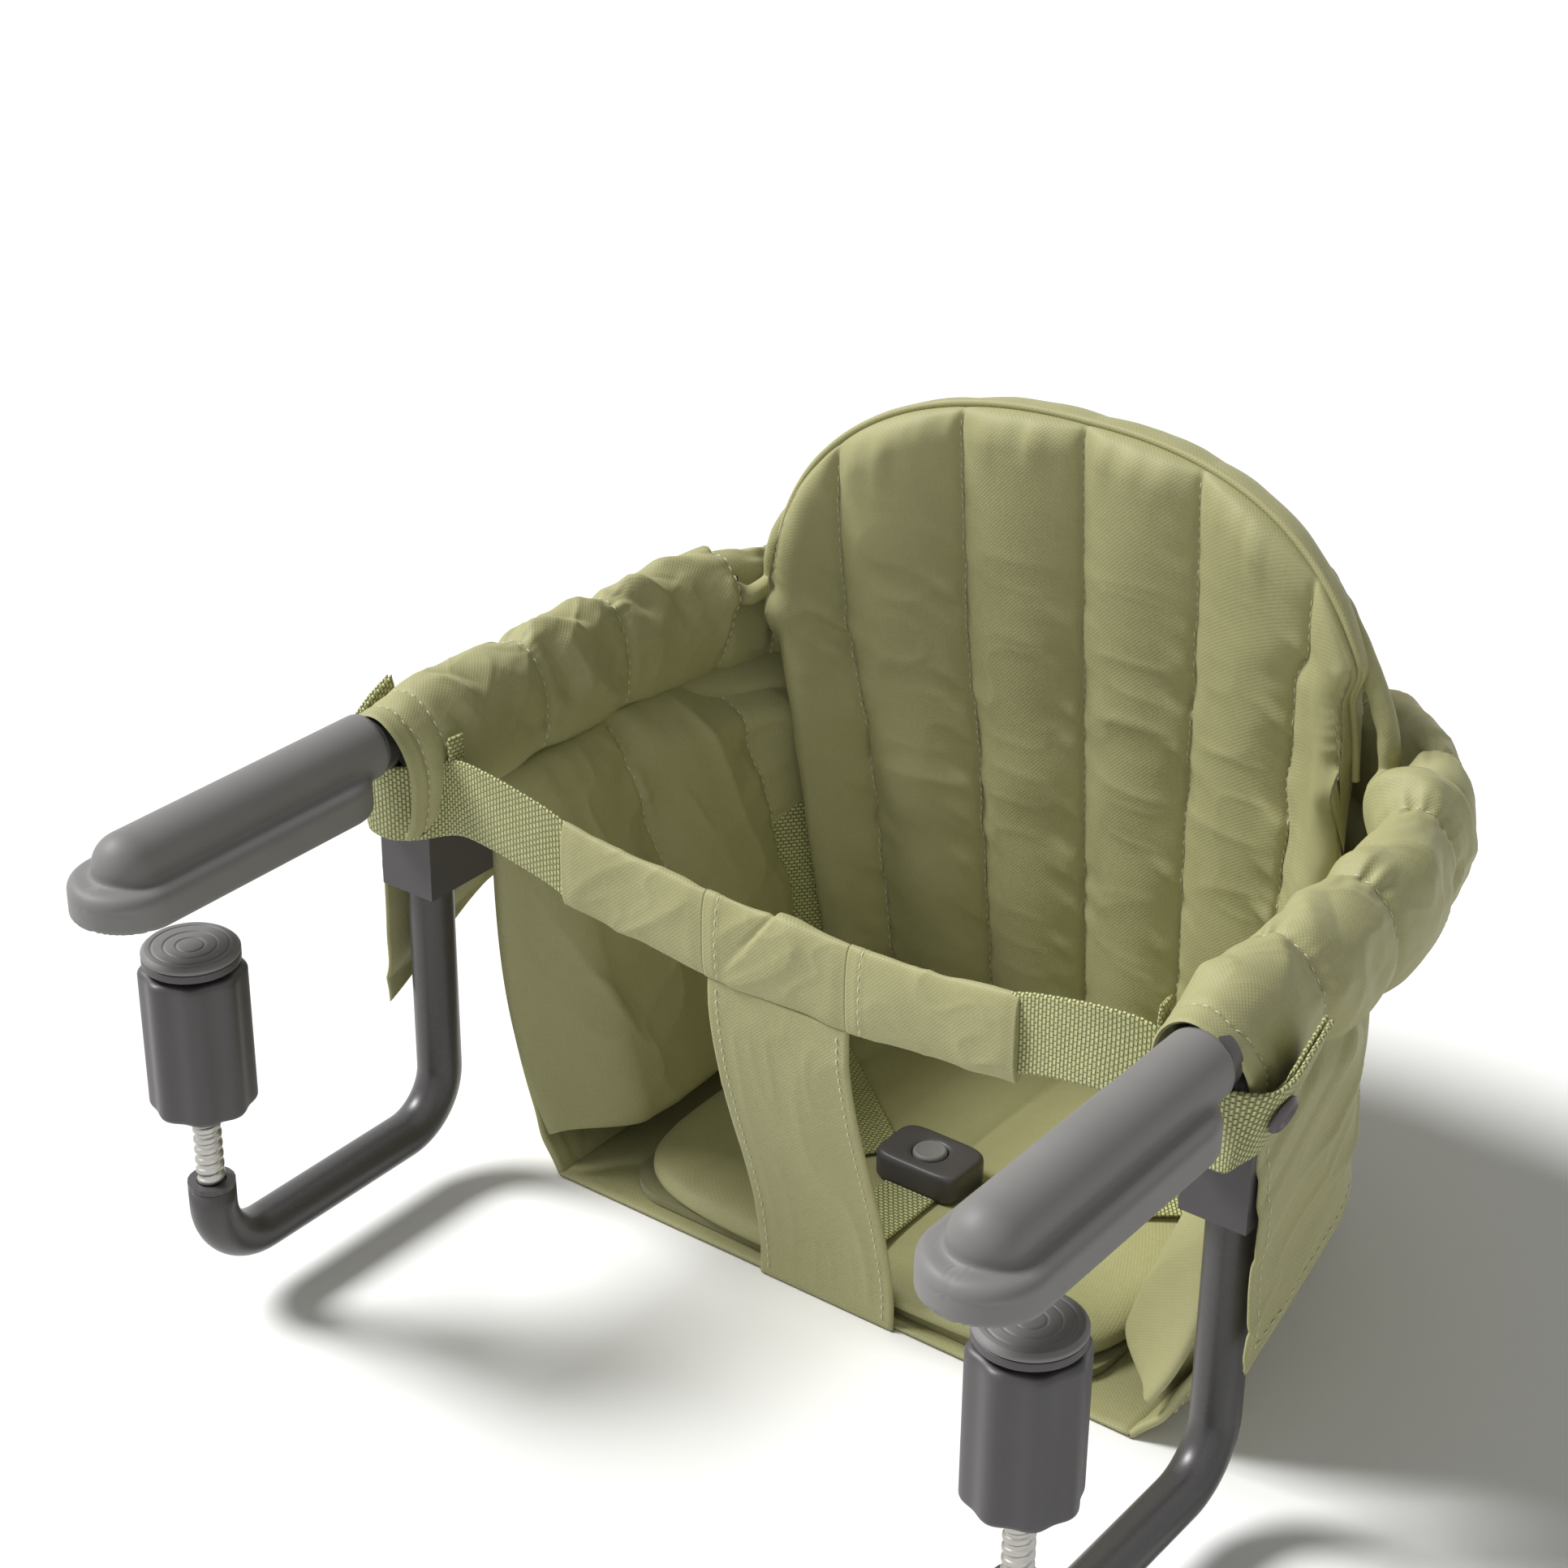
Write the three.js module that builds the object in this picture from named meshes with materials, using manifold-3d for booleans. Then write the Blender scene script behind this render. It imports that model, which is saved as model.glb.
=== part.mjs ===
// A fabric seat that hangs on two arms hooked over a table edge.
// Millimetres. X runs across the seat, +Y away from the table, +Z up. The origin lies on the table top at its
// edge, midway between the arms. Each arm turns about a post behind the edge to fold the chair flat.
import * as THREE from 'three';
import { mergeVertices } from 'three/addons/utils/BufferGeometryUtils.js';
import Module from 'manifold-3d';

const wasm = await Module();
wasm.setup();

// Driving dimensions
const armSpacing = 400; // between the centre lines of the two arms
const gap = 0.3; // between pieces that touch or run in each other
const overrun = 1; // how far a cut passes the face it opens
const turn = Math.PI * 2;
const halfTurnDegrees = 180;

const tube = { radius: 10, wall: 1.8, bend: 26, sides: 12 };
const shoe = {
  halfWidth: 23.2, thickness: 15.3, tip: 151.8, heel: 2.8, edge: 5.5, foot: 1.2,
  coverRadius: 14.35, coverTip: 141.6, coverEnd: 3.65, axis: 17.9, boreEnd: 129,
};
const collar = { radius: 13, lip: 1 };
const post = { back: 38, lower: 180 }; // behind the table edge, and the lower run below the table top
const clamp = {
  reach: 100, upturn: 35, spindleRadius: 6, spindleLift: 20, spindleTop: 87, plugDepth: 9, flange: 2.5,
  knobRadius: 22, knobFoot: 104, knobTop: 39, nut: 16, flute: 1.6, flutes: 8, knobEdge: 3, cavity: 9,
  ceiling: 4, stemRadius: 3.5, stemHead: 5, stemHeadHeight: 3, padRadius: 20, rest: 30, rubber: 3,
  cupWall: 2, seatRadius: 12,
};
const housing = {
  inner: 15, outer: 13.5, front: 15, back: 32, foot: 60, head: 18, riserHalf: 10.6, riserFront: 13.3,
  bossRadius: 12.3, bossLength: 14, bushWall: 1.2, bushFlange: 2, bushFlangeRadius: 13,
};
const lock = {
  height: 40, stemRadius: 4, headRadius: 6.2, bore: 6.6, boreDepth: 17, stemTip: 16.4, headFoot: 30.3,
  headEnd: 38, dome: 1.5, wire: 0.55, coil: 5.3, turns: 4,
};
const rim = { front: 56, back: 292, half: armSpacing / 2, power: 3.3, height: 14, firstDegrees: 5 };
const sleeve = {
  outer: 15.5, inner: 27, innerBack: 15, taperShare: 0.25, drop: 5, half: 30, seamDepth: 2.4,
};
const cuff = { wall: 2, topFront: 13, slantShare: 0.2, hem: 3.5 };
const hoop = {
  sleeveEndDegrees: 37.1, rearStartDegrees: 42.8, wire: 3, height: 25, pinBack: 8.8, bendBack: 25.3,
  clampWall: 3, clampHalf: 6, lugBack: 14.8, lugHalf: 5, slack: 0.6,
};
const bag = {
  wall: 2.2, head: 21.3, waistInset: 7, waistPower: 2.45, rows: 6,
  floor: 205, floorInset: 50, floorFront: 6, floorBack: 2, floorPower: 4.5, bellyPower: 3.6,
};
const seat = {
  boardHalf: 122, boardFront: 6, boardBack: 28, clear: 0.5, board: 4, corner: 24,
  padHalf: 124, padFront: 2, padBack: 22, padHeight: 14.5, padEdge: 9.2, power: 5,
};
const cushion = {
  behind: 46.6, lean: 0.1, curl: 26, sideRoom: 32.3, shoulder: 6, top: 138, power: 2.6, seam: 58.7,
  crown: 6, crownPower: 0.7, thick: 18, edge: 7, lowHalf: 138, footHalf: 118, fold: 20, foldGap: 0.5, tuck: 4,
  fadeShare: 0.33,
};
const cover = { thick: 2, proud: 2.5, widthShare: 0.96 };
const wing = {
  offset: 14, thick: 2.4, front: 11, back: 94, top: 12, backTop: 21.5, drawFrom: 32.5, draw: 27,
  frontFoot: 122, backFoot: 62,
};
const sidePad = {
  thick: 7, front: 10, back: 144, head: 24, lift: 17, headInset: 24, footInset: 19, crown: 3, channels: 4,
  leanPower: 1.3, crownPower: 0.5, tuckFrom: 54, tuck: 22.5, tuckPower: 1.9,
};
const strap = {
  back: 14, thick: 8, half: 35, foot: 42, top: 3, endTop: 3.5, endFoot: 35, end: 108, sectionGap: 0.4,
  risePower: 1.5, round: 0.8, endThinShare: 0.25, endPower: 4,
};
const webbing = { thick: 1.8, half: 17, standOff: 2.3, near: 25, tail: 8, low: 15, high: 9 };
const snap = { radius: 8, height: 3, back: 15, drop: 3, dish: 1 };
const crotch = { inset: 1, thick: 3 };
const belt = { width: 25, thick: 2, top: 100, ahead: 23.4, bend: 12, tongue: 8 };
const buckle = {
  half: 22, depth: 30, ahead: 74, clear: 0.5, height: 14, corner: 5, button: 7.7, recess: 8,
  proud: 1.2, room: 8,
};

// Heights of the stack on the bag's floor, and places that several pieces share
const boardFoot = seat.clear - bag.floor;
const padFoot = boardFoot + seat.board + gap;
const padTop = padFoot + seat.padHeight;
const onPad = padTop + gap;
const bagFront = rim.front + bag.floorFront;
const bagBack = rim.back - bag.floorBack;
const bagHalf = rim.half - bag.floorInset;
const backY = rim.back - cushion.behind;
const strapY = post.back - strap.back;
const buckleY = bagFront + buckle.ahead;

const finish = (color, roughness, metalness = 0) =>
  new THREE.MeshStandardMaterial({ color, roughness, metalness });
const finishes = {
  fabric: finish('#8f9262', 0.95),
  webbing: finish('#a3a870', 0.9),
  rubber: finish('#6b6967', 0.7),
  steel: finish('#3f3d3d', 0.45, 0.6),
  bare: finish('#9a9a98', 0.35, 0.9),
  plastic: finish('#4a4748', 0.55),
  foam: finish('#8c8f60', 0.95),
  board: finish('#5a5550', 0.8),
};

const at = (x, y, z) => new THREE.Vector3(x, y, z);
const lerp = THREE.MathUtils.lerp;
const steps = (count) => Array.from({ length: count + 1 }, (_, i) => i / count);
const smooth = (t) => THREE.MathUtils.smoothstep(t, 0, 1);
const sides = { left: -1, right: 1 };

// Closed bodies from points and faces. The faces are turned to point outwards.
function solid(points, faces) {
  const volume = faces.reduce((sum, [a, b, c]) => sum + points[a].dot(points[b].clone().cross(points[c])), 0);
  const geometry = new THREE.BufferGeometry();
  geometry.setAttribute('position', new THREE.Float32BufferAttribute(points.flatMap((p) => p.toArray()), 3));
  geometry.setIndex(faces.flatMap(([a, b, c]) => (volume < 0 ? [a, c, b] : [a, b, c])));
  return geometry;
}

const quad = (a, b, c, d) => [[a, b, c], [a, c, d]];

function bands(count, rows, loop) {
  const faces = [];
  const last = loop ? rows : rows - 1;
  for (let i = 0; i < last; i++) {
    const next = ((i + 1) % rows) * count;
    for (let j = 0; j < count; j++) {
      const k = (j + 1) % count;
      faces.push(...quad(i * count + j, i * count + k, next + k, next + j));
    }
  }
  return faces;
}

// A skin over a row of rings, closed at both ends by fans.
function loft(rings) {
  const count = rings[0].length;
  const points = rings.flat();
  const faces = bands(count, rings.length, false);
  const last = (rings.length - 1) * count;
  const middle = (ring) => ring.reduce((sum, p) => sum.add(p), at(0, 0, 0)).divideScalar(count);
  const front = points.push(middle(rings[0])) - 1;
  const back = points.push(middle(rings.at(-1))) - 1;
  for (let j = 0; j < count; j++) {
    const k = (j + 1) % count;
    faces.push([front, k, j], [back, last + j, last + k]);
  }
  return solid(points, faces);
}

// A hollow open-ended body between two rows of rings.
const pipe = (outer, inner) => {
  const rings = [...outer, ...[...inner].reverse()];
  return solid(rings.flat(), bands(rings[0].length, rings.length, true));
};

// A thick sheet between two grids of points.
function sheet(front, back) {
  const width = front[0].length;
  const count = width * 2;
  const points = front.flatMap((row, i) => [...row, ...[...back[i]].reverse()]);
  const faces = bands(count, front.length, false);
  const last = (front.length - 1) * count;
  for (let j = 0; j < width - 1; j++) {
    const cap = [j + 1, j, count - 1 - j, count - 2 - j];
    faces.push(...quad(...cap), ...quad(...cap.map((i) => i + last).reverse()));
  }
  return solid(points, faces);
}

// Merges the shared points of a built-in geometry and drops its collapsed faces.
function merged(geometry) {
  const bare = geometry.clone();
  bare.deleteAttribute('normal');
  bare.deleteAttribute('uv');
  const whole = mergeVertices(bare);
  const points = Array.from({ length: whole.attributes.position.count }, (_, i) =>
    new THREE.Vector3().fromBufferAttribute(whole.attributes.position, i));
  const faces = [];
  for (let i = 0; i < whole.index.count; i += 3) {
    const [a, b, c] = whole.index.array.slice(i, i + 3);
    if (a !== b && b !== c && c !== a) faces.push([a, b, c]);
  }
  return solid(points, faces);
}

const toManifold = (geometry) => {
  const whole = merged(geometry);
  return new wasm.Manifold(new wasm.Mesh({
    numProp: 3,
    vertProperties: new Float32Array(whole.attributes.position.array),
    triVerts: new Uint32Array(whole.index.array),
  }));
};

function toGeometry(manifold) {
  const mesh = manifold.getMesh();
  const geometry = new THREE.BufferGeometry();
  geometry.setAttribute('position', new THREE.Float32BufferAttribute(mesh.vertProperties, 3));
  geometry.setIndex([...mesh.triVerts]);
  return geometry;
}

const join = (...parts) => toGeometry(parts.map(toManifold).reduce((whole, part) => whole.add(part)));
const cut = (body, ...tools) => toGeometry(
  tools.map(toManifold).reduce((whole, tool) => whole.subtract(tool), toManifold(body)));

// Turned body: a profile of [radius, distance along the axis] pairs from a base point along a direction.
function turned(profile, base, direction, count = 20) {
  const geometry = new THREE.LatheGeometry(profile.map(([r, h]) => new THREE.Vector2(r, h)), count);
  geometry.applyQuaternion(new THREE.Quaternion().setFromUnitVectors(at(0, 1, 0), direction));
  geometry.translate(base.x, base.y, base.z);
  return merged(geometry);
}

const rod = (radius, from, to, count = 20) => {
  const along = to.clone().sub(from);
  const length = along.length();
  return turned([[0, 0], [radius, 0], [radius, length], [0, length]], from, along.normalize(), count);
};

const block = (low, high) => {
  const size = high.clone().sub(low);
  const geometry = new THREE.BoxGeometry(size.x, size.y, size.z);
  const centre = low.clone().add(high).multiplyScalar(1 / 2);
  return merged(geometry.translate(centre.x, centre.y, centre.z));
};

const boxBetween = (xs, ys, zs) => {
  const pair = (list) => [Math.min(...list), Math.max(...list)];
  const [x, y, z] = [pair(xs), pair(ys), pair(zs)];
  return block(at(x[0], y[0], z[0]), at(x[1], y[1], z[1]));
};

// A plate with round corners, lying flat.
function plate(halfX, front, back, corner, foot, height) {
  const shape = new THREE.Shape();
  const round = (x, y, start) => shape.absarc(x, y, corner, start, start + turn / 4, false);
  round(halfX - corner, back - corner, 0);
  round(corner - halfX, back - corner, turn / 4);
  round(corner - halfX, front + corner, turn / 2);
  round(halfX - corner, front + corner, (turn * 3) / 4);
  const geometry = new THREE.ExtrudeGeometry(shape, { depth: height, bevelEnabled: false, curveSegments: 5 });
  return merged(geometry.translate(0, 0, foot));
}

// Rings of a section carried along a path, with a side direction at each point.
function carried(path, sideAt, sectionAt) {
  return path.map((point, i) => {
    const before = path[Math.max(i - 1, 0)];
    const after = path[Math.min(i + 1, path.length - 1)];
    const along = after.clone().sub(before).normalize();
    const side = sideAt(point, along).normalize();
    const up = side.clone().cross(along).normalize();
    return sectionAt(point, i).map(([u, w]) =>
      point.clone().addScaledVector(side, u).addScaledVector(up, w));
  });
}

const circle = (radius, count) => steps(count).slice(1).map((t) =>
  [radius * Math.cos(t * turn), radius * Math.sin(t * turn)]);

const chair = new THREE.Group();
const add = (name, geometry, material) => {
  const mesh = new THREE.Mesh(geometry, material);
  mesh.name = name;
  chair.add(mesh);
};

// The rim in plan: a squared half oval from the housings round the back, by its angle from the right arm.
function rimAt(degrees) {
  const angle = THREE.MathUtils.degToRad(degrees);
  const deep = rim.back - rim.front;
  const c = Math.abs(Math.cos(angle)) / rim.half;
  const s = Math.abs(Math.sin(angle)) / deep;
  const reach = (c ** rim.power + s ** rim.power) ** (-1 / rim.power);
  return at(reach * Math.cos(angle), rim.front + reach * Math.sin(angle), rim.height);
}

// The wire hoop turns on clamps that sit on the straight stretch between two sleeves.
const clampFrom = rimAt(hoop.sleeveEndDegrees);
const clampTo = rimAt(hoop.rearStartDegrees);
const clampCentre = clampFrom.clone().add(clampTo).multiplyScalar(1 / 2);
const hinge = at(clampCentre.x, clampCentre.y, hoop.height);
const backHalf = hinge.x - cushion.sideRoom;

const rimStretch = (start, end, count) => steps(count).map((t) => rimAt(lerp(start, end, t)));
const outwardSide = (point, along) => along.clone().cross(at(0, 0, 1));

// Pieces of each arm
function armPath(x) {
  const b = tube.bend;
  const y = post.back;
  const z = shoe.axis;
  const arc = (cy, cz, from, to) => steps(5).map((t) => {
    const a = lerp(from, to, t);
    return at(x, cy + b * Math.cos(a), cz + b * Math.sin(a));
  });
  return [
    at(x, gap - shoe.boreEnd, z),
    ...arc(y - b, z - b, turn / 4, 0),
    ...arc(y - b, b - post.lower, 0, -turn / 4),
    ...arc(b - clamp.reach, b - post.lower, -turn / 4, -turn / 2),
    at(x, -clamp.reach, clamp.upturn - post.lower),
  ];
}

function armTube(x) {
  const rings = (radius) => carried(armPath(x), () => at(1, 0, 0), () => circle(radius, tube.sides));
  return pipe(rings(tube.radius), rings(tube.radius - tube.wall));
}

// Slab with round ends under a round tube cover that ends in a dome, with the bore for the arm tube.
function shoeBody(x) {
  const w = shoe.halfWidth;
  const levels = [
    [0, shoe.foot], [shoe.foot, 0], [shoe.thickness - shoe.edge, 0],
    [shoe.thickness - shoe.edge / 4, shoe.edge / 3], [shoe.thickness, shoe.edge],
  ];
  const outline = (inset, z) => {
    const r = w - inset;
    const end = (y, start) => steps(9).map((t) => {
      const a = start + (t * turn) / 2;
      return at(x + r * Math.cos(a), y + r * Math.sin(a), z);
    });
    return [...end(w - shoe.tip, turn / 2), ...end(-shoe.heel - w, 0)];
  };
  const slab = loft(levels.map(([z, inset]) => outline(inset, z)));
  const r = shoe.coverRadius;
  const length = shoe.coverTip + shoe.coverEnd;
  const dome = steps(5).map((t) => [r * Math.sin((t * turn) / 4), r - r * Math.cos((t * turn) / 4)]);
  const tip = at(x, -shoe.coverTip, shoe.axis);
  const coverBody = turned([...dome, [r, length], [0, length]], tip, at(0, 1, 0));
  const bore = rod(tube.radius + gap, at(x, -shoe.boreEnd, shoe.axis),
    at(x, shoe.coverEnd + overrun, shoe.axis));
  return cut(join(slab, coverBody), bore);
}

function collarRing(x) {
  const [inner, outer] = [tube.radius + gap, collar.radius];
  const start = shoe.coverEnd + gap;
  const length = post.back - tube.bend - start;
  const profile = [
    [inner, 0], [outer - collar.lip, 0], [outer, collar.lip], [outer, length - collar.lip],
    [outer - collar.lip, length], [inner, length], [inner, 0],
  ];
  return turned(profile, at(x, start, shoe.axis), at(0, 1, 0));
}

// Threaded plug in the upturned end, and the spindle that stands in it.
function endPlug(x) {
  const flat = Math.cos(turn / (2 * tube.sides));
  const [inner, outer] = [clamp.spindleRadius + gap, (tube.radius - tube.wall) * flat - gap];
  const up = clamp.plugDepth;
  const profile = [
    [inner, 0], [outer, 0], [outer, up + gap], [tube.radius, up + gap],
    [tube.radius, up + gap + clamp.flange], [inner, up + gap + clamp.flange], [inner, 0],
  ];
  return turned(profile, at(x, -clamp.reach, clamp.upturn - post.lower - up), at(0, 0, 1));
}

const spindle = (x) => rod(clamp.spindleRadius, at(x, -clamp.reach, clamp.spindleLift - post.lower),
  at(x, -clamp.reach, -clamp.spindleTop));

// Fluted knob: a nut at its foot, a cavity for the spindle, and a hole in its head for the pad's stem.
function knob(x) {
  const height = clamp.knobFoot - clamp.knobTop;
  const e = clamp.knobEdge;
  const levels = [[0, e], [e, 0], [height - e, 0], [height, e]];
  const outer = loft(levels.map(([h, inset]) => steps(clamp.flutes * 4).slice(1).map((t) => {
    const r = clamp.knobRadius - inset - clamp.flute * (1 - Math.cos(t * turn * clamp.flutes)) / 2;
    return at(x + r * Math.cos(t * turn), r * Math.sin(t * turn) - clamp.reach, h - clamp.knobFoot);
  })));
  const centre = (z) => at(x, -clamp.reach, z);
  const ceilingZ = -clamp.knobTop - clamp.ceiling;
  return cut(outer,
    rod(clamp.spindleRadius + gap, centre(-clamp.knobFoot - overrun),
      centre(-clamp.knobFoot + clamp.nut + overrun)),
    rod(clamp.cavity, centre(-clamp.knobFoot + clamp.nut), centre(ceilingZ)),
    rod(clamp.stemRadius + gap, centre(ceilingZ - overrun), centre(-clamp.knobTop + overrun)));
}

// Swivelling cup with a headed stem in the knob, and the rubber pad on it.
function padCup(x) {
  const stemFoot = -clamp.knobTop - clamp.ceiling - gap - clamp.stemHeadHeight;
  const up = (z) => z - stemFoot;
  const foot = up(-clamp.knobTop + gap);
  const face = up(-clamp.rest - clamp.rubber - gap);
  const profile = [
    [0, 0], [clamp.stemHead, 0], [clamp.stemHead, clamp.stemHeadHeight],
    [clamp.stemRadius, clamp.stemHeadHeight], [clamp.stemRadius, foot], [clamp.seatRadius, foot],
    [clamp.padRadius, foot + clamp.cupWall],
    [clamp.padRadius, face], [0, face],
  ];
  return turned(profile, at(x, -clamp.reach, stemFoot), at(0, 0, 1));
}

function rubberPad(x) {
  const r = clamp.padRadius;
  const h = clamp.rubber;
  const profile = [[0, 0], [r, 0], [r, h / 2], [r - h / 2, h], [0, h]];
  return turned(profile, at(x, -clamp.reach, -clamp.rest - h), at(0, 0, 1));
}

// Housing round the post, with a riser that holds the end of the rim tube and a bore for the lock button.
function housingBody(s) {
  const x = s * rim.half;
  const y = post.back;
  const inner = x - s * housing.inner;
  const outer = x + s * housing.outer;
  const main = boxBetween([inner, outer], [y - housing.front, y + housing.back],
    [-housing.foot, -housing.head]);
  const riser = boxBetween([x - housing.riserHalf, x + housing.riserHalf],
    [y + housing.riserFront, y + housing.back], [-housing.head - overrun, rim.height]);
  const boss = rod(housing.bossRadius, at(x, y + housing.riserFront, rim.height),
    at(x, y + housing.back + housing.bossLength, rim.height));
  const socket = rod(tube.radius + gap, at(x, rim.front - overrun, rim.height),
    at(x, y + housing.back + housing.bossLength + overrun, rim.height));
  const postBore = rod(tube.radius + gap + housing.bushWall + gap, at(x, y, -housing.foot - overrun),
    at(x, y, overrun - housing.head));
  const lockBore = rod(lock.bore, at(x, y + housing.back - lock.boreDepth, -lock.height),
    at(x, y + housing.back + overrun, -lock.height), 20);
  const stemBore = rod(lock.stemRadius + gap, at(x, y, -lock.height),
    at(x, y + housing.back, -lock.height), 20);
  return cut(join(main, riser, boss), socket, postBore, lockBore, stemBore);
}

function pivotBush(x) {
  const [inner, outer] = [tube.radius + gap, tube.radius + gap + housing.bushWall];
  const length = housing.foot - housing.head + gap;
  const profile = [
    [inner, 0], [outer, 0], [outer, length], [housing.bushFlangeRadius, length],
    [housing.bushFlangeRadius, length + housing.bushFlange], [inner, length + housing.bushFlange], [inner, 0],
  ];
  return turned(profile, at(x, post.back, -housing.foot), at(0, 0, 1));
}

function lockButton(x) {
  const [stem, head] = [lock.stemRadius, lock.headRadius];
  const up = (distance) => distance - lock.stemTip;
  const profile = [
    [0, 0], [stem - lock.dome, 0], [stem, lock.dome], [stem, up(lock.headFoot)], [head, up(lock.headFoot)],
    [head, up(lock.headEnd) - lock.dome], [head - lock.dome, up(lock.headEnd)], [0, up(lock.headEnd)],
  ];
  return turned(profile, at(x, post.back + lock.stemTip, -lock.height), at(0, 1, 0), 20);
}

function lockSpring(x) {
  const start = post.back + housing.back - lock.boreDepth + gap + lock.wire;
  const end = post.back + lock.headFoot - gap - lock.wire;
  const path = steps(lock.turns * 8).map((t) => {
    const a = t * lock.turns * turn;
    return at(x + lock.coil * Math.cos(a), lerp(start, end, t), lock.coil * Math.sin(a) - lock.height);
  });
  const away = (p) => at(p.x - x, 0, p.z + lock.height);
  return loft(carried(path, away, () => circle(lock.wire, 5)));
}

for (const [name, s] of Object.entries(sides)) {
  const x = s * rim.half;
  add(`${name}_arm_tube`, armTube(x), finishes.steel);
  add(`${name}_shoe`, shoeBody(x), finishes.rubber);
  add(`${name}_collar`, collarRing(x), finishes.steel);
  add(`${name}_end_plug`, endPlug(x), finishes.plastic);
  add(`${name}_spindle`, spindle(x), finishes.bare);
  add(`${name}_clamp_knob`, knob(x), finishes.plastic);
  add(`${name}_pad_cup`, padCup(x), finishes.plastic);
  add(`${name}_rubber_pad`, rubberPad(x), finishes.rubber);
  add(`${name}_pivot_housing`, housingBody(s), finishes.plastic);
  add(`${name}_pivot_bush`, pivotBush(x), finishes.plastic);
  add(`${name}_lock_button`, lockButton(x), finishes.rubber);
  add(`${name}_lock_spring`, lockSpring(x), finishes.bare);
}

// Rim tube, open at both ends in the housings. The sleeves and the hoop clamps sit on the same points.
const sidePath = [
  at(rim.half, rim.front + gap, rim.height), ...rimStretch(rim.firstDegrees, hoop.sleeveEndDegrees, 6),
];
const rearPath = rimStretch(hoop.rearStartDegrees, halfTurnDegrees - hoop.rearStartDegrees, 14);
const mirrorPath = (path) => [...path].reverse().map((p) => at(-p.x, p.y, p.z));
const rimPath = [...sidePath, ...rearPath, ...mirrorPath(sidePath)];
const rimRings = (radius) => carried(rimPath, outwardSide, () => circle(radius, 10));
add('rim_tube', pipe(rimRings(tube.radius), rimRings(tube.radius - tube.wall)), finishes.steel);

// Padded sleeves on the rim: an upright oval, drawn in at the seams that cross it
function sleeveSection(point, drawn) {
  const back = smooth((point.y - rim.front) / (hinge.y - rim.front) - sleeve.taperShare);
  const inner = lerp(sleeve.inner, sleeve.innerBack, back);
  const centre = (sleeve.outer - inner) / 2;
  const wide = (sleeve.outer + inner) / 2 - drawn;
  return (t, shrink = 0) => [centre + (wide - shrink) * Math.cos(t * turn),
    (sleeve.half - drawn - shrink) * Math.sin(t * turn) - sleeve.drop];
}

const ringCount = 18;
const around = steps(ringCount).slice(1);

// Every second ring is drawn in at a seam.
function paddedStretch(path) {
  const outer = carried(path, outwardSide, (point, i) =>
    around.map((t) => sleeveSection(point, i % 2 && i < path.length - 1 ? sleeve.seamDepth : 0)(t)));
  const bore = carried(path, outwardSide, () => circle(tube.radius + gap * 2, ringCount));
  return pipe(outer, bore);
}

for (const [name, s] of Object.entries(sides)) {
  const x = s * rim.half;
  const path = s > 0 ? sidePath : mirrorPath(sidePath);
  const riserRoom = boxBetween([x - housing.riserHalf - gap, x + housing.riserHalf + gap],
    [rim.front - overrun, post.back + housing.back + gap],
    [-sleeve.half - sleeve.drop, rim.height]);
  const mainRoom = boxBetween([x - s * (housing.inner + gap), x + s * (housing.outer + gap)],
    [rim.front - overrun, post.back + housing.back + gap], [-sleeve.half - sleeve.drop, gap - housing.head]);
  const bossRoom = rod(housing.bossRadius + gap, at(x, rim.front - overrun, rim.height),
    at(x, post.back + housing.back + housing.bossLength + gap, rim.height));
  add(`${name}_armrest_sleeve`, cut(paddedStretch(path), riserRoom, mainRoom, bossRoom), finishes.fabric);
}
add('rear_sleeve', paddedStretch(rearPath), finishes.fabric);

// Fabric cuffs over the pivots, open below for the post
function cuffBody(s) {
  const x = s * rim.half;
  const ringsAt = (shrink) => steps(3).map((t) => around.map((a) => {
    const [u, w] = sleeveSection(at(x, rim.front, rim.height), 0)(a, shrink);
    const z = rim.height + w;
    const front = cuff.topFront + cuff.slantShare * (rim.height + sleeve.half - sleeve.drop - z);
    return at(x + s * u, lerp(front, rim.front, t), z);
  }));
  const slot = boxBetween([x - s * (housing.inner + gap + overrun), x + s * (sleeve.outer + overrun)],
    [0, rim.front + overrun], [-cuff.hem, -sleeve.half - sleeve.drop]);
  return cut(pipe(ringsAt(0), ringsAt(cuff.wall)), slot);
}

// Outer fabric beside the post, and the padded panel inside
function wingPanel(s) {
  const rows = steps(3).map((v) => steps(4).map((u) => {
    const y = lerp(post.back - wing.front, rim.front + wing.back, u);
    const drawn = smooth((y - rim.front - wing.drawFrom) / (wing.back - wing.drawFrom));
    const head = lerp(wing.top, wing.backTop, Math.min(1, drawn * 2));
    const foot = lerp(wing.frontFoot, wing.backFoot, u);
    return [y, -lerp(head, foot, v), wing.draw * drawn];
  }));
  const grid = (offset) => rows.map((row) => row.map(([y, z, inward]) =>
    at(s * (rim.half + offset - inward), y, z)));
  return sheet(grid(wing.offset + wing.thick), grid(wing.offset));
}

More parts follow.
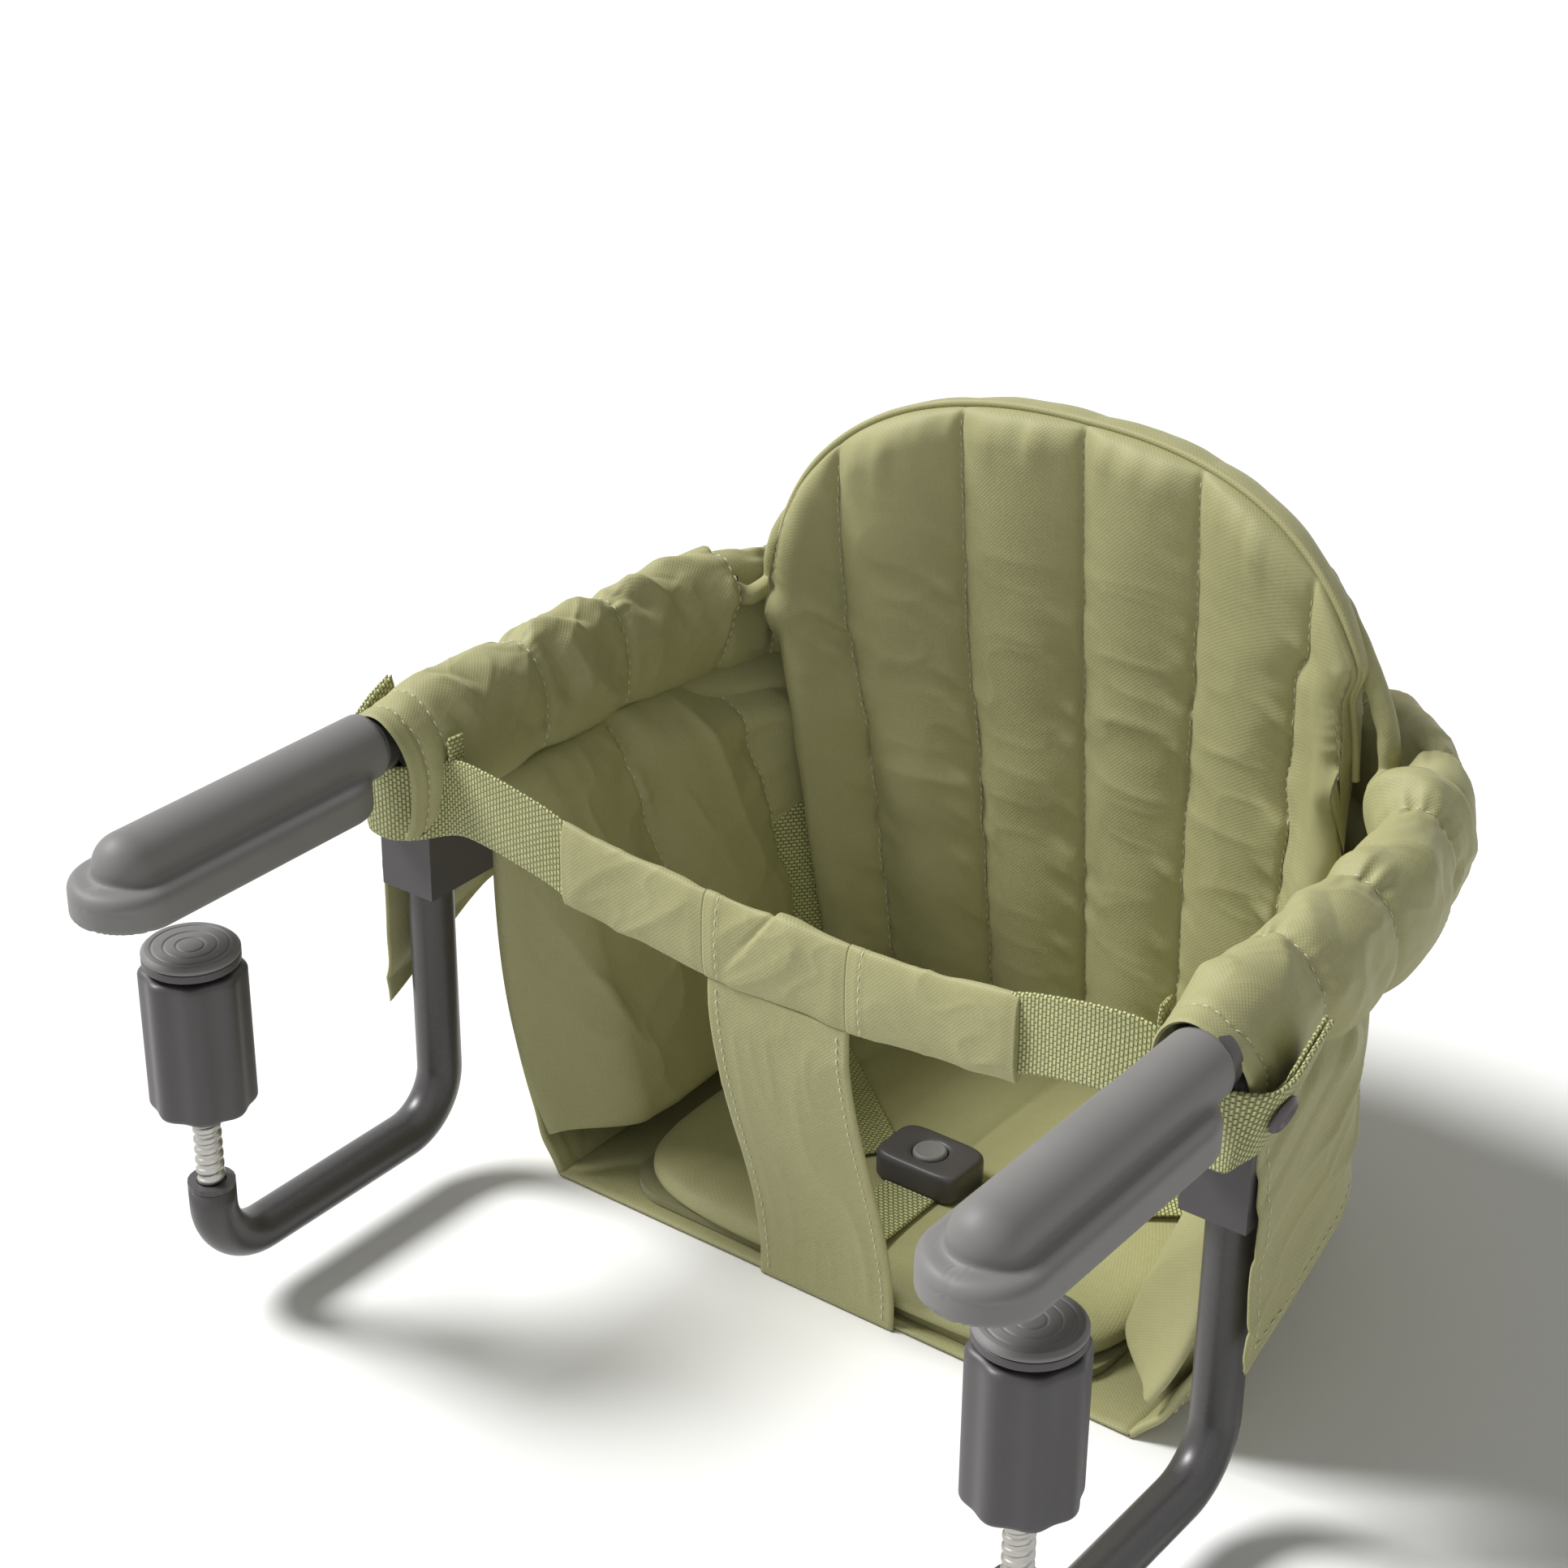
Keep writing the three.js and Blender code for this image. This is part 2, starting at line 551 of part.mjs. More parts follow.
function sidePanel(s) {
  const [head, foot] = [rim.half - sidePad.headInset, bagHalf - sidePad.footInset];
  const grid = (offset, crown) => steps(6).map((v) => steps(sidePad.channels * 3).map((u) => {
    const fade = Math.sin((v * turn) / 2) ** sidePad.crownPower;
    const bulge = crown * Math.abs(Math.sin((u * sidePad.channels * turn) / 2)) * fade;
    const back = lerp(sidePad.front, sidePad.back, u);
    const passed = (back - sidePad.tuckFrom) / (sidePad.back - sidePad.tuckFrom);
    const tucked = Math.max(0, passed) ** sidePad.tuckPower;
    const x = lerp(head, foot, v ** sidePad.leanPower) + offset - bulge - sidePad.tuck * tucked * (1 - v);
    return at(s * x, rim.front + back, lerp(-sidePad.head, sidePad.lift - bag.floor, v));
  }));
  return sheet(grid(0, sidePad.crown), grid(sidePad.thick, 0));
}

for (const [name, s] of Object.entries(sides)) {
  add(`${name}_cuff`, cuffBody(s), finishes.fabric);
  add(`${name}_side_wing`, wingPanel(s), finishes.fabric);
  add(`${name}_side_pad`, sidePanel(s), finishes.fabric);
}

// Seat bag: walls that hang from a waist under the rim and draw in to a floor
const squaredOval = (half, deep, power, front) => (degrees) => {
  const a = THREE.MathUtils.degToRad(degrees);
  const c = Math.abs(Math.cos(a)) / half;
  const s = Math.abs(Math.sin(a)) / deep;
  const reach = (c ** power + s ** power) ** (-1 / power);
  return at(reach * Math.cos(a), front + reach * Math.sin(a), 0);
};

function bagBody() {
  const floorAt = squaredOval(bagHalf, bagBack - bagFront, bag.floorPower, bagFront);
  const waistAt = squaredOval(rim.half - bag.waistInset, rim.back - rim.front, bag.waistPower, rim.front);
  const angles = steps(22).map((t) => lerp(rim.firstDegrees, halfTurnDegrees - rim.firstDegrees, t));
  const floorAngles = steps(22).map((t) => halfTurnDegrees * t);
  const inwardAt = (i, row) => {
    const along = row[Math.min(i + 1, row.length - 1)].clone().sub(row[Math.max(i - 1, 0)]).normalize();
    return at(0, 0, 1).cross(along);
  };
  const outer = steps(bag.rows).map((v) => angles.map((angle, i) => {
    const high = waistAt(angle);
    const low = floorAt(floorAngles[i]);
    const f = v ** bag.bellyPower;
    return at(lerp(high.x, low.x, f), lerp(high.y, low.y, f), -lerp(bag.head, bag.floor + bag.wall, v));
  }));
  const inner = outer.map((row) => row.map((p, i) =>
    p.clone().addScaledVector(inwardAt(i, row), bag.wall)));
  const foot = new THREE.Shape(floorAngles.map((angle) =>
    new THREE.Vector2(floorAt(angle).x, floorAt(angle).y)));
  const floor = new THREE.ExtrudeGeometry(foot, { depth: bag.wall, bevelEnabled: false });
  return join(sheet(outer, inner), floor.translate(0, 0, -bag.floor - bag.wall));
}

add('seat_bag', bagBody(), finishes.fabric);
add('seat_board', plate(seat.boardHalf, bagFront + seat.boardFront, bagBack - seat.boardBack, seat.corner,
  boardFoot, seat.board), finishes.board);

// Each pair gives a ring's size as a share of the pad's, and its height as a share from its edge to its top.
const padCrownShares = [[0.97, 0], [0.8, 0.7], [0.4, 0.95]];
function seatPad() {
  const [front, back] = [bagFront + seat.padFront, bagBack - seat.padBack];
  const middle = (front + back) / 2;
  const deep = (back - front) / 2;
  const edge = padFoot + seat.padEdge;
  const ring = (share, z) => steps(32).slice(1).map((t) => {
    const [c, s] = [Math.cos(t * turn), Math.sin(t * turn)];
    const reach = (Math.abs(c) ** seat.power + Math.abs(s) ** seat.power) ** (-1 / seat.power) * share;
    return at(seat.padHalf * reach * c, middle + deep * reach * s, z);
  });
  return loft([
    ring(padCrownShares[0][0], padFoot), ring(1, (padFoot + edge) / 2),
    ...padCrownShares.map(([share, up]) => ring(share, lerp(edge, padTop, up))),
  ]);
}
add('seat_pad', seatPad(), finishes.foam);

// Back cushion: a curled slab with upright channels, its upper half on the folding backrest
const seamLineY = (x, z) => backY - cushion.lean * z - cushion.curl * (x / backHalf) ** 2;
const cushionDepth = (x) => lerp(cushion.thick, cushion.edge, Math.min(1, Math.abs(x) / backHalf) ** 2);
const cushionBackY = (x, z) => seamLineY(x, z) + cushionDepth(x);
const channelCrown = (x) =>
  cushion.crown * Math.abs(Math.sin(((x / cushion.seam) * turn) / 2)) ** cushion.crownPower;

function cushionTopZ(x) {
  const share = Math.min(1, Math.abs(x) / backHalf);
  const rise = (1 - share ** cushion.power) ** (1 / cushion.power);
  return cushion.shoulder + (cushion.top - cushion.shoulder) * rise;
}

const outerShares = [0.985, 0.95, 0.88];
const channelXs = steps(16).map((t) => lerp(-2, 2, t) * cushion.seam);
const cushionXs = [
  ...outerShares.map((share) => -share * backHalf), ...channelXs,
  ...[...outerShares].reverse().map((share) => share * backHalf),
];

function cushionBody(low, highAt, halfAt, rowCount) {
  const grid = (yAt) => steps(rowCount).map((v) => cushionXs.map((base) => {
    const z = lerp(low, highAt(base), v);
    const x = base * halfAt(z);
    return at(x, yAt(x, base, z, v), z);
  }));
  const edgeFade = (v) => Math.min(1, Math.sin((v * turn) / 2) / cushion.fadeShare);
  const front = grid((x, base, z, v) => seamLineY(x, z) + cushion.tuck * (1 - edgeFade(v))
    - channelCrown(base) * edgeFade(v));
  const back = grid((x, base, z) => cushionBackY(x, z));
  return sheet(front, back);
}

const lowerHalfShare = (z) => lerp(cushion.footHalf, cushion.lowHalf,
  (z - onPad) / (cushion.fold - onPad)) / backHalf;
add('back_cushion_upper', cushionBody(cushion.fold, cushionTopZ, () => 1, 6), finishes.fabric);
add('back_cushion_lower', cushionBody(onPad, () => cushion.fold - cushion.foldGap, lowerHalfShare, 6),
  finishes.fabric);

// Wire hoop behind the cushion on two clamps, and the rear layer behind it
const hoopOffset = hoop.wire + hoop.slack + gap;

// Points of the wire, as shares of the backrest's half width and of its height
const hoopShares = [
  [1.035, 0.2], [1.02, 0.34], [0.93, 0.52], [0.76, 0.71], [0.5, 0.85], [0.25, 0.9], [0, 0.91],
];

function hoopWire() {
  const right = hoopShares.map(([across, up]) => at(across * backHalf, 0, up * cushion.top));
  const left = mirrorPath(right).slice(1);
  const behind = new THREE.CatmullRomCurve3([...right, ...left], false, 'centripetal').getPoints(36)
    .map((p) => at(p.x, cushionBackY(p.x, p.z) + hoopOffset, p.z));
  const pin = [hoop.pinBack, hoop.bendBack].map((back) => at(hinge.x - back, hinge.y, hinge.z));
  const points = [...pin, ...behind, ...mirrorPath(pin)];
  return loft(carried(points, (p, along) => at(0, 1, -1).cross(along), () => circle(hoop.wire, 8)));
}

function hoopClamp(s) {
  const along = clampTo.clone().sub(clampFrom).normalize();
  const mirrored = (p) => at(s * p.x, p.y, p.z);
  const end = (distance) => mirrored(clampCentre.clone().addScaledVector(along, distance));
  const outer = tube.radius + gap + hoop.clampWall;
  const ring = rod(outer, end(-hoop.clampHalf), end(hoop.clampHalf), 16);
  const face = hinge.x - hoop.lugBack;
  const lug = boxBetween([s * face, s * (hinge.x - outer / 2)],
    [hinge.y - hoop.lugHalf, hinge.y + hoop.lugHalf], [hinge.z - hoop.clampHalf, hinge.z + hoop.clampHalf]);
  const bore = rod(tube.radius + gap, end(-hoop.clampHalf * 3), end(hoop.clampHalf * 3), 20);
  const pinHole = rod(hoop.wire + gap, at(s * (face - overrun), hinge.y, hinge.z),
    at(s * (hinge.x - hoop.pinBack + gap), hinge.y, hinge.z), 16);
  return cut(join(ring, lug), bore, pinHole);
}

function backCover() {
  const near = hoopOffset + hoop.wire + hoop.slack;
  const xs = steps(12).map((t) => lerp(-1, 1, t) * backHalf * cover.widthShare);
  const grid = (offset) => steps(5).map((v) => xs.map((x) => {
    const z = lerp(cushion.fold + cushion.tuck, cushionTopZ(x) + cover.proud, v);
    return at(x, cushionBackY(x, z) + offset, z);
  }));
  return sheet(grid(near), grid(near + cover.thick));
}

add('back_hoop', hoopWire(), finishes.steel);
add('back_cover', backCover(), finishes.fabric);
for (const [name, s] of Object.entries(sides)) add(`${name}_hoop_clamp`, hoopClamp(s), finishes.plastic);

// Front strap: a fabric sleeve in three sections between two stretches of webbing
function strapSection(from, to) {
  const count = 6;
  const share = (x) => Math.max(0, (Math.abs(x) - strap.half) / (strap.end - strap.half));
  const rings = steps(count).map((t) => {
    const x = lerp(from, to, t);
    const high = lerp(-strap.top, strap.endTop, share(x) ** strap.risePower);
    const low = -lerp(strap.foot, strap.endFoot, share(x));
    const full = 1 - strap.endThinShare * Math.abs(2 * t - 1) ** strap.endPower;
    const eased = (value) => Math.sign(value) * Math.abs(value) ** strap.round;
    return steps(14).slice(1).map((a) => {
      const y = strapY + (eased(Math.cos(a * turn)) * strap.thick * full) / 2;
      return at(x, y, lerp(low, high, (1 + eased(Math.sin(a * turn))) / 2));
    });
  });
  return loft(rings);
}

// Middle line of a band, from the strap sleeve past the post to the tail outside the cuff. Each row holds
// shares:
// across to the outside, forward to the nearest point, back again to the tail, and up from the lowest point.
const bandShares = [
  [0, 0, 0, 0], [0.243, 0.136, 0, 0.333], [0.5265, 0.5, 0, 0.479], [0.6545, 0.773, 0, 0.25],
  [0.8373, 0.909, 0, 0.083], [0.9378, 1, 0, 0.167], [1, 1, 0.136, 0.375], [1, 1, 0.576, 0.75], [1, 1, 1, 1],
];
const bandOutside = rim.half + sleeve.outer + webbing.standOff;
const webbingPath = bandShares.map(([across, forward, backward, up]) => [
  lerp(strap.end + strap.sectionGap, bandOutside, across),
  lerp(strapY, post.back - webbing.near, forward) + (webbing.near + webbing.tail) * backward,
  lerp(-webbing.low, webbing.high, up),
]);

function webbingBand(s) {
  const rings = webbingPath.map(([x, y, z], i) => {
    const before = webbingPath[Math.max(i - 1, 0)];
    const after = webbingPath[Math.min(i + 1, webbingPath.length - 1)];
    const flat = at(after[0] - before[0], after[1] - before[1], 0).normalize();
    const side = at(-flat.y, flat.x, 0);
    return [[-1, -1], [1, -1], [1, 1], [-1, 1]].map(([u, w]) => at(
      s * (x + side.x * u * webbing.thick / 2), y + side.y * u * webbing.thick / 2, z + w * webbing.half));
  });
  return loft(rings);
}

function snapCap(s) {
  const base = at(s * (bandOutside + webbing.thick / 2 + gap), post.back - snap.back, -snap.drop);
  const r = snap.radius;
  const h = snap.height;
  const profile = [
    [0, 0], [r, 0], [r, h / 3], [(r * 3) / 4, h], [r / 2, h], [r / 3, h - snap.dish], [0, h - snap.dish],
  ];
  return turned(profile, base, at(s, 0, 0));
}

add('strap_sleeve', strapSection(-strap.half, strap.half), finishes.fabric);
for (const [name, s] of Object.entries(sides)) {
  add(`${name}_strap_sleeve`, strapSection(s * (strap.half + strap.sectionGap), s * strap.end),
    finishes.fabric);
  add(`${name}_front_webbing`, webbingBand(s), finishes.webbing);
  add(`${name}_snap_cap`, snapCap(s), finishes.plastic);
}

// Crotch panel from the strap down to the front of the bag's floor
function crotchPanel() {
  const half = crotch.thick / 2;
  const grid = (offset) => steps(8).map((v) => [-1, 1].map((s) => {
    const y = lerp(strapY, bagFront - half - gap, smooth(v)) + offset;
    return at(s * (strap.half - crotch.inset), y, -lerp(strap.foot + gap, bag.floor + bag.wall, v));
  }));
  return sheet(grid(-half), grid(half));
}
add('crotch_panel', crotchPanel(), finishes.fabric);

// Waist belts that come down beside the cushion and lie on the seat pad, the buckle and its strap
function waistBelt(s) {
  const start = at(s * cushion.lowHalf, backY - belt.ahead, 0);
  const end = at(s * (buckle.half + belt.tongue), buckleY, 0);
  const along = end.clone().sub(start);
  const run = along.length();
  along.normalize();
  const corner = steps(4).map((t) => [
    belt.bend * (1 - Math.cos((t * turn) / 4)), belt.bend * (1 - Math.sin((t * turn) / 4)),
  ]);
  const profile = [[0, -belt.top - onPad], ...corner, [run, 0]];
  const path = profile.map(([d, h]) =>
    start.clone().addScaledVector(along, d).setZ(onPad + h + belt.thick / 2));
  const level = at(0, 0, 1).cross(along);
  const [a, b] = [belt.width / 2, belt.thick / 2];
  return loft(carried(path, () => level.clone(), () => [[-a, -b], [a, -b], [a, b], [-a, b]]));
}

function crotchStrap() {
  const half = belt.width / 2;
  return boxBetween([-half, half], [bagFront + seat.padFront + overrun, buckleY - buckle.depth / 2 - gap],
    [onPad, onPad + belt.thick]);
}

const buckleFoot = padTop + buckle.clear;
const buckleTop = buckleFoot + buckle.height;

function buckleBody() {
  const half = buckle.depth / 2;
  const base = plate(buckle.half, buckleY - half, buckleY + half, buckle.corner, buckleFoot, buckle.height);
  return cut(base, rod(buckle.recess, at(0, buckleY, buckleTop - buckle.room),
    at(0, buckleY, buckleTop + overrun)));
}

function buckleButton() {
  const foot = buckleTop - buckle.room / 2;
  const h = buckleTop + buckle.proud - foot;
  const r = buckle.button;
  const profile = [[0, 0], [r, 0], [r, h - buckle.proud], [r - buckle.proud, h], [0, h]];
  return turned(profile, at(0, buckleY, foot), at(0, 0, 1));
}

for (const [name, s] of Object.entries(sides)) add(`${name}_waist_belt`, waistBelt(s), finishes.webbing);
add('crotch_strap', crotchStrap(), finishes.webbing);
add('buckle_body', buckleBody(), finishes.plastic);
add('buckle_button', buckleButton(), finishes.plastic);

export default chair;
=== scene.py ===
"""A fabric seat that hangs on two clamping arms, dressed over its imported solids."""
import math
import bmesh
import bpy
import numpy as np
from mathutils import Matrix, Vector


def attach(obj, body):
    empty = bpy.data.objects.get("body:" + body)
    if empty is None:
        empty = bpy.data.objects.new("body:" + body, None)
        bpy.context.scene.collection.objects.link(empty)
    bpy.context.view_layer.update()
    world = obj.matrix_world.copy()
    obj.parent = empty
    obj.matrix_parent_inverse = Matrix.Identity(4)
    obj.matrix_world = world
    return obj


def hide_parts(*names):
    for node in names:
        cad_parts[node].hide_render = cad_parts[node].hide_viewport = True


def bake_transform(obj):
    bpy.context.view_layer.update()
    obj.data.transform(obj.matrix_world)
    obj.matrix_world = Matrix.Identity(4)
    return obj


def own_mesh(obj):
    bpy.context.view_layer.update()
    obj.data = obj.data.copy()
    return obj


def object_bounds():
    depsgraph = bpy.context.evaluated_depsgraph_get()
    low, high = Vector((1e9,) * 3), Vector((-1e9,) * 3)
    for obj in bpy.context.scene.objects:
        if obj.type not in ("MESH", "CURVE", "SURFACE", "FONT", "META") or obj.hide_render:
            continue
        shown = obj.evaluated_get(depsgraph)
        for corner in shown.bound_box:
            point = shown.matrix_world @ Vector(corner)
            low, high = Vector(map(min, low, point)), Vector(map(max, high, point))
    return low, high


bl_info = {
    "name": "Hook on table chair",
    "version": (1, 0, 0),
    "blender": (4, 5, 0),
    "location": "View3D > Sidebar > Table chair",
    "description": "Builds the fabric, rubber and metal pieces of the seat",
    "category": "Object",
}

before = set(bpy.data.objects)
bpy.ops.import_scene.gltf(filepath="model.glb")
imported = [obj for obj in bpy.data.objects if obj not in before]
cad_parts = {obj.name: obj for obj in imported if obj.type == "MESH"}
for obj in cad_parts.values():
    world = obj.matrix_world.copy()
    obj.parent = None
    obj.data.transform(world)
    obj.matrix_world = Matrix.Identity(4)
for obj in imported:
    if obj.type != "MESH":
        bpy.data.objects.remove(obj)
cad_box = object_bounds()

# Places and sizes that the solids share, in millimetres
MM = 0.001
ARM = 200.0  # from the middle of the seat to each arm
POST = 38.0  # from the origin back to the post
AXIS = 17.9  # height of the arm tube above the shoes' soles
BEND = 26.0  # radius of the arm tube's bends
ARM_FOOT = -154.0  # height at which the arm tube's lower bends start
CLAMP_Y = -100.0  # from the origin to the clamp
RIM_FRONT = 56.0
RIM_DEEP = 236.0
RIM_HEIGHT = 14.0
RIM_POWER = 3.3
HINGE = (183.273, 209.775, 25.0)
BACK_HALF = HINGE[0] - 32.3
BACK_Y = 245.4
TOP = 138.0
FOLD = 20.0
CHANNEL = 58.7  # width of one sewn channel of the cushion
ON_PAD = -185.4
PAD_FOOT = -200.2
BAG_FLOOR = -206.1
BAG_FRONT = 62.0
BAG_BACK = 290.0
BAG_HALF = 150.0
FLOOR_POWER = 4.5
WAIST_HALF = 193.0
WAIST_POWER = 2.45
WALL_POWER = 3.6
STRAP_Y = 24.0
STRAP_HALF = 35.0
STRAP_END = 108.0
BUCKLE_Y = 136.0
TURN = 2 * math.pi
SIDES = {"left": -1, "right": 1}


def linear(code):
    """An sRGB hex colour as three linear numbers, by the sRGB curve."""
    parts = [int(code[i:i + 2], 16) / 255 for i in (1, 3, 5)]
    return tuple(c / 12.92 if c <= 0.04045 else ((c + 0.055) / 1.055) ** 2.4 for c in parts)


def length_setting(name, description, value, most):
    return bpy.props.FloatProperty(
        name=name, description=description, default=value, min=0, max=most, unit="LENGTH", precision=5)


def colour_setting(name, description, code):
    return bpy.props.FloatVectorProperty(
        name=name, description=description, default=linear(code), size=3, min=0, max=1, subtype="COLOR")


class ChairSizes(bpy.types.PropertyGroup):
    """Sizes of the sewn and moulded details that a user would change."""
    seam_depth: length_setting("Seam depth", "How far a cross seam draws the padded rim in", 0.0026, 0.01)
    wrinkle: length_setting("Wrinkle height", "Height of the folds in the padded rim", 0.0014, 0.01)
    fold: length_setting("Armrest folds", "Height of the long folds set one by one in armrests", 0.0037, 0.01)
    crown: length_setting("Cushion crown", "How far each channel of the backrest swells", 0.0085, 0.02)
    pucker: length_setting("Pucker height", "Height of the small gathers beside a seam", 0.0013, 0.01)
    bag_fold: length_setting("Bag folds", "Height of the folds in the seat bag", 0.0045, 0.01)
    stitch: length_setting("Stitch length", "Length of one visible thread", 0.0030, 0.01)
    stitch_gap: length_setting("Stitch gap", "Distance between two visible threads", 0.0019, 0.01)
    thread: length_setting("Thread radius", "Half the thickness of the sewing thread", 0.00035, 0.002)
    weave: length_setting("Weave pitch", "Distance between threads of the cloth", 0.0009, 0.01)
    rib: length_setting("Webbing pitch", "Distance between the bumps of the webbing", 0.0021, 0.01)
    fillet: length_setting("Shoe fillet", "Radius between a shoe's base and its tube cover", 0.003, 0.02)


class ChairColours(bpy.types.PropertyGroup):
    """Colours of the cloths, rubber, metal and plastic."""
    # Cloth and the colour after it are a lit and a shaded copy of the cloth's colour: sunk threads take the
    # shaded one as painted shade, and random tone mixes the two as well.
    cloth: colour_setting("Cloth", "Woven cloth, raised threads", "#aba97c")
    cloth_shaded: colour_setting("Cloth, deep", "Woven cloth, sunk threads", "#908d5f")
    thread: colour_setting("Sewing thread", "Visible stitches", "#d2d2b2")
    # Webbing is the lit colour of the bumps; the colour after it is painted shade in the ground between them.
    webbing: colour_setting("Webbing", "Raised bumps of the webbing", "#d0ce93")
    webbing_deep: colour_setting("Webbing, deep", "Ground between the bumps", "#77823f")
    rubber: colour_setting("Rubber", "Shoes and clamp pads", "#7c7a78")
    paint: colour_setting("Tube paint", "Powder coat on tubes and hoop", "#3f3d3d")
    steel: colour_setting("Plated steel", "Spindles and springs", "#b8b6b0")
    plastic: colour_setting("Plastic", "Housings and knobs", "#4a4748")
    snap: colour_setting("Snap cap", "Cap on the webbing", "#51484b")
    floor: colour_setting("Floor", "Floor and surroundings", "#fbfbfa")


def smoothstep(low, high, value):
    """0 below low, 1 above high, and 3tt - 2ttt between them."""
    t = np.clip((np.asarray(value, float) - low) / (high - low), 0, 1)
    return t * t * (3 - 2 * t)


def mix(a, b, t):
    return a + (b - a) * t


def points_of(*parts):
    """Points whose coordinates are arrays of shapes that fit each other."""
    return np.stack(np.broadcast_arrays(*parts), axis=-1)


def unit(vectors):
    return vectors / np.maximum(np.linalg.norm(vectors, axis=-1, keepdims=True), 1e-9)


def noise(points, size, seed):
    """Smooth noise from -1 to 1: random values on a lattice of a size in mm, mixed by smooth steps."""
    scaled = points / np.asarray(size, float) + seed * 17.13
    cell = np.floor(scaled).astype(np.int64)
    part = scaled - cell
    part = part ** 3 * (part * (part * 6 - 15) + 10)
    total = np.zeros(points.shape[:-1])
    for corner in np.ndindex(2, 2, 2):
        x, y, z = np.moveaxis(cell + np.array(corner), -1, 0)
        value = (x * 374761393 + y * 668265263 + z * 1440670441 + seed * 69069) & 0xFFFFFFFF
        value = ((value ^ (value >> 13)) * 1274126177) & 0xFFFFFFFF
        value = (value ^ (value >> 16)) & 0xFFFFFFFF
        weight = np.prod(np.where(np.array(corner) == 1, part, 1 - part), axis=-1)
        total += weight * (value / 2147483648.0 - 1)
    return total


def creases(points, size, seed):
    """Sharp-backed folds from 0 to 1: one minus the size of the noise, squared, over two scales."""
    broad = 1 - np.abs(noise(points, size, seed))
    fine = 1 - np.abs(noise(points, np.asarray(size, float) / 2.1, seed + 5))
    return 0.7 * broad ** 3 + 0.3 * fine ** 3


def normals_of(grid, around=False):
    """The cross product of the two steps along a grid, at unit length."""
    down = np.gradient(grid, axis=0)
    across = np.roll(grid, -1, 1) - np.roll(grid, 1, 1) if around else np.gradient(grid, axis=1)
    return unit(np.cross(down, across))


def blurred(values, times=1):
    """Normals or points mixed with their neighbours along both grid directions."""
    for _ in range(times):
        padded = np.pad(values, ((1, 1), (1, 1), (0, 0)), "edge")
        values = (padded[:-2, 1:-1] + padded[2:, 1:-1] + padded[1:-1, :-2] + padded[1:-1, 2:]
                  + 4 * values) / 8
    return values


def along_line(points, count, smooth=True):
    """A line through points: centripetal Catmull-Rom where smooth, then evenly spaced by its length."""
    points = np.asarray(points, float)
    if smooth:
        ends = np.concatenate([[2 * points[0] - points[1]], points, [2 * points[-1] - points[-2]]])
        pieces = []
        for p0, p1, p2, p3 in zip(ends[:-3], ends[1:-2], ends[2:-1], ends[3:]):
            steps = np.sqrt([np.linalg.norm(b - a) + 1e-9 for a, b in ((p0, p1), (p1, p2), (p2, p3))])
            k0, k1, k2, k3 = np.concatenate([[0], np.cumsum(steps)])
            t = np.linspace(k1, k2, 24, endpoint=False)[:, None]
            a1 = (k1 - t) / (k1 - k0) * p0 + (t - k0) / (k1 - k0) * p1
            a2 = (k2 - t) / (k2 - k1) * p1 + (t - k1) / (k2 - k1) * p2
            a3 = (k3 - t) / (k3 - k2) * p2 + (t - k2) / (k3 - k2) * p3
            b1 = (k2 - t) / (k2 - k0) * a1 + (t - k0) / (k2 - k0) * a2
            b2 = (k3 - t) / (k3 - k1) * a2 + (t - k1) / (k3 - k1) * a3
            pieces.append((k2 - t) / (k2 - k1) * b1 + (t - k1) / (k2 - k1) * b2)
        points = np.concatenate([*pieces, points[-1:]])
    run = np.concatenate([[0], np.cumsum(np.linalg.norm(np.diff(points, axis=0), axis=1))])
    even = np.linspace(0, run[-1], count)
    return np.stack([np.interp(even, run, points[:, k]) for k in range(points.shape[1])], axis=1)


def carried(path, side, section):
    """Section points of two shares set at each point of a path, along its side and along side x path."""
    along = unit(np.gradient(path, axis=0))
    side = unit(np.broadcast_to(side, path.shape).astype(float))
    side = unit(side - along * np.sum(side * along, axis=1, keepdims=True))
    up = np.cross(side, along)
    return path[:, None] + section[..., :1] * side[:, None] + section[..., 1:] * up[:, None]


def circle(radius, count):
    angle = np.arange(count) / count * TURN
    return np.stack([radius * np.cos(angle), radius * np.sin(angle)], axis=1)


def sampled(grid, rows, columns):
    """Points of a grid at fractional rows and columns, mixed from the four round each."""
    rows, columns = np.broadcast_arrays(np.asarray(rows, float), np.asarray(columns, float))
    rows = np.clip(rows, 0, grid.shape[0] - 1.001)
    columns = np.clip(columns, 0, grid.shape[1] - 1.001)
    r, c = rows.astype(int), columns.astype(int)
    u, v = (rows - r)[..., None], (columns - c)[..., None]
    top = mix(grid[r, c], grid[r, c + 1], v)
    return mix(top, mix(grid[r + 1, c], grid[r + 1, c + 1], v), u)


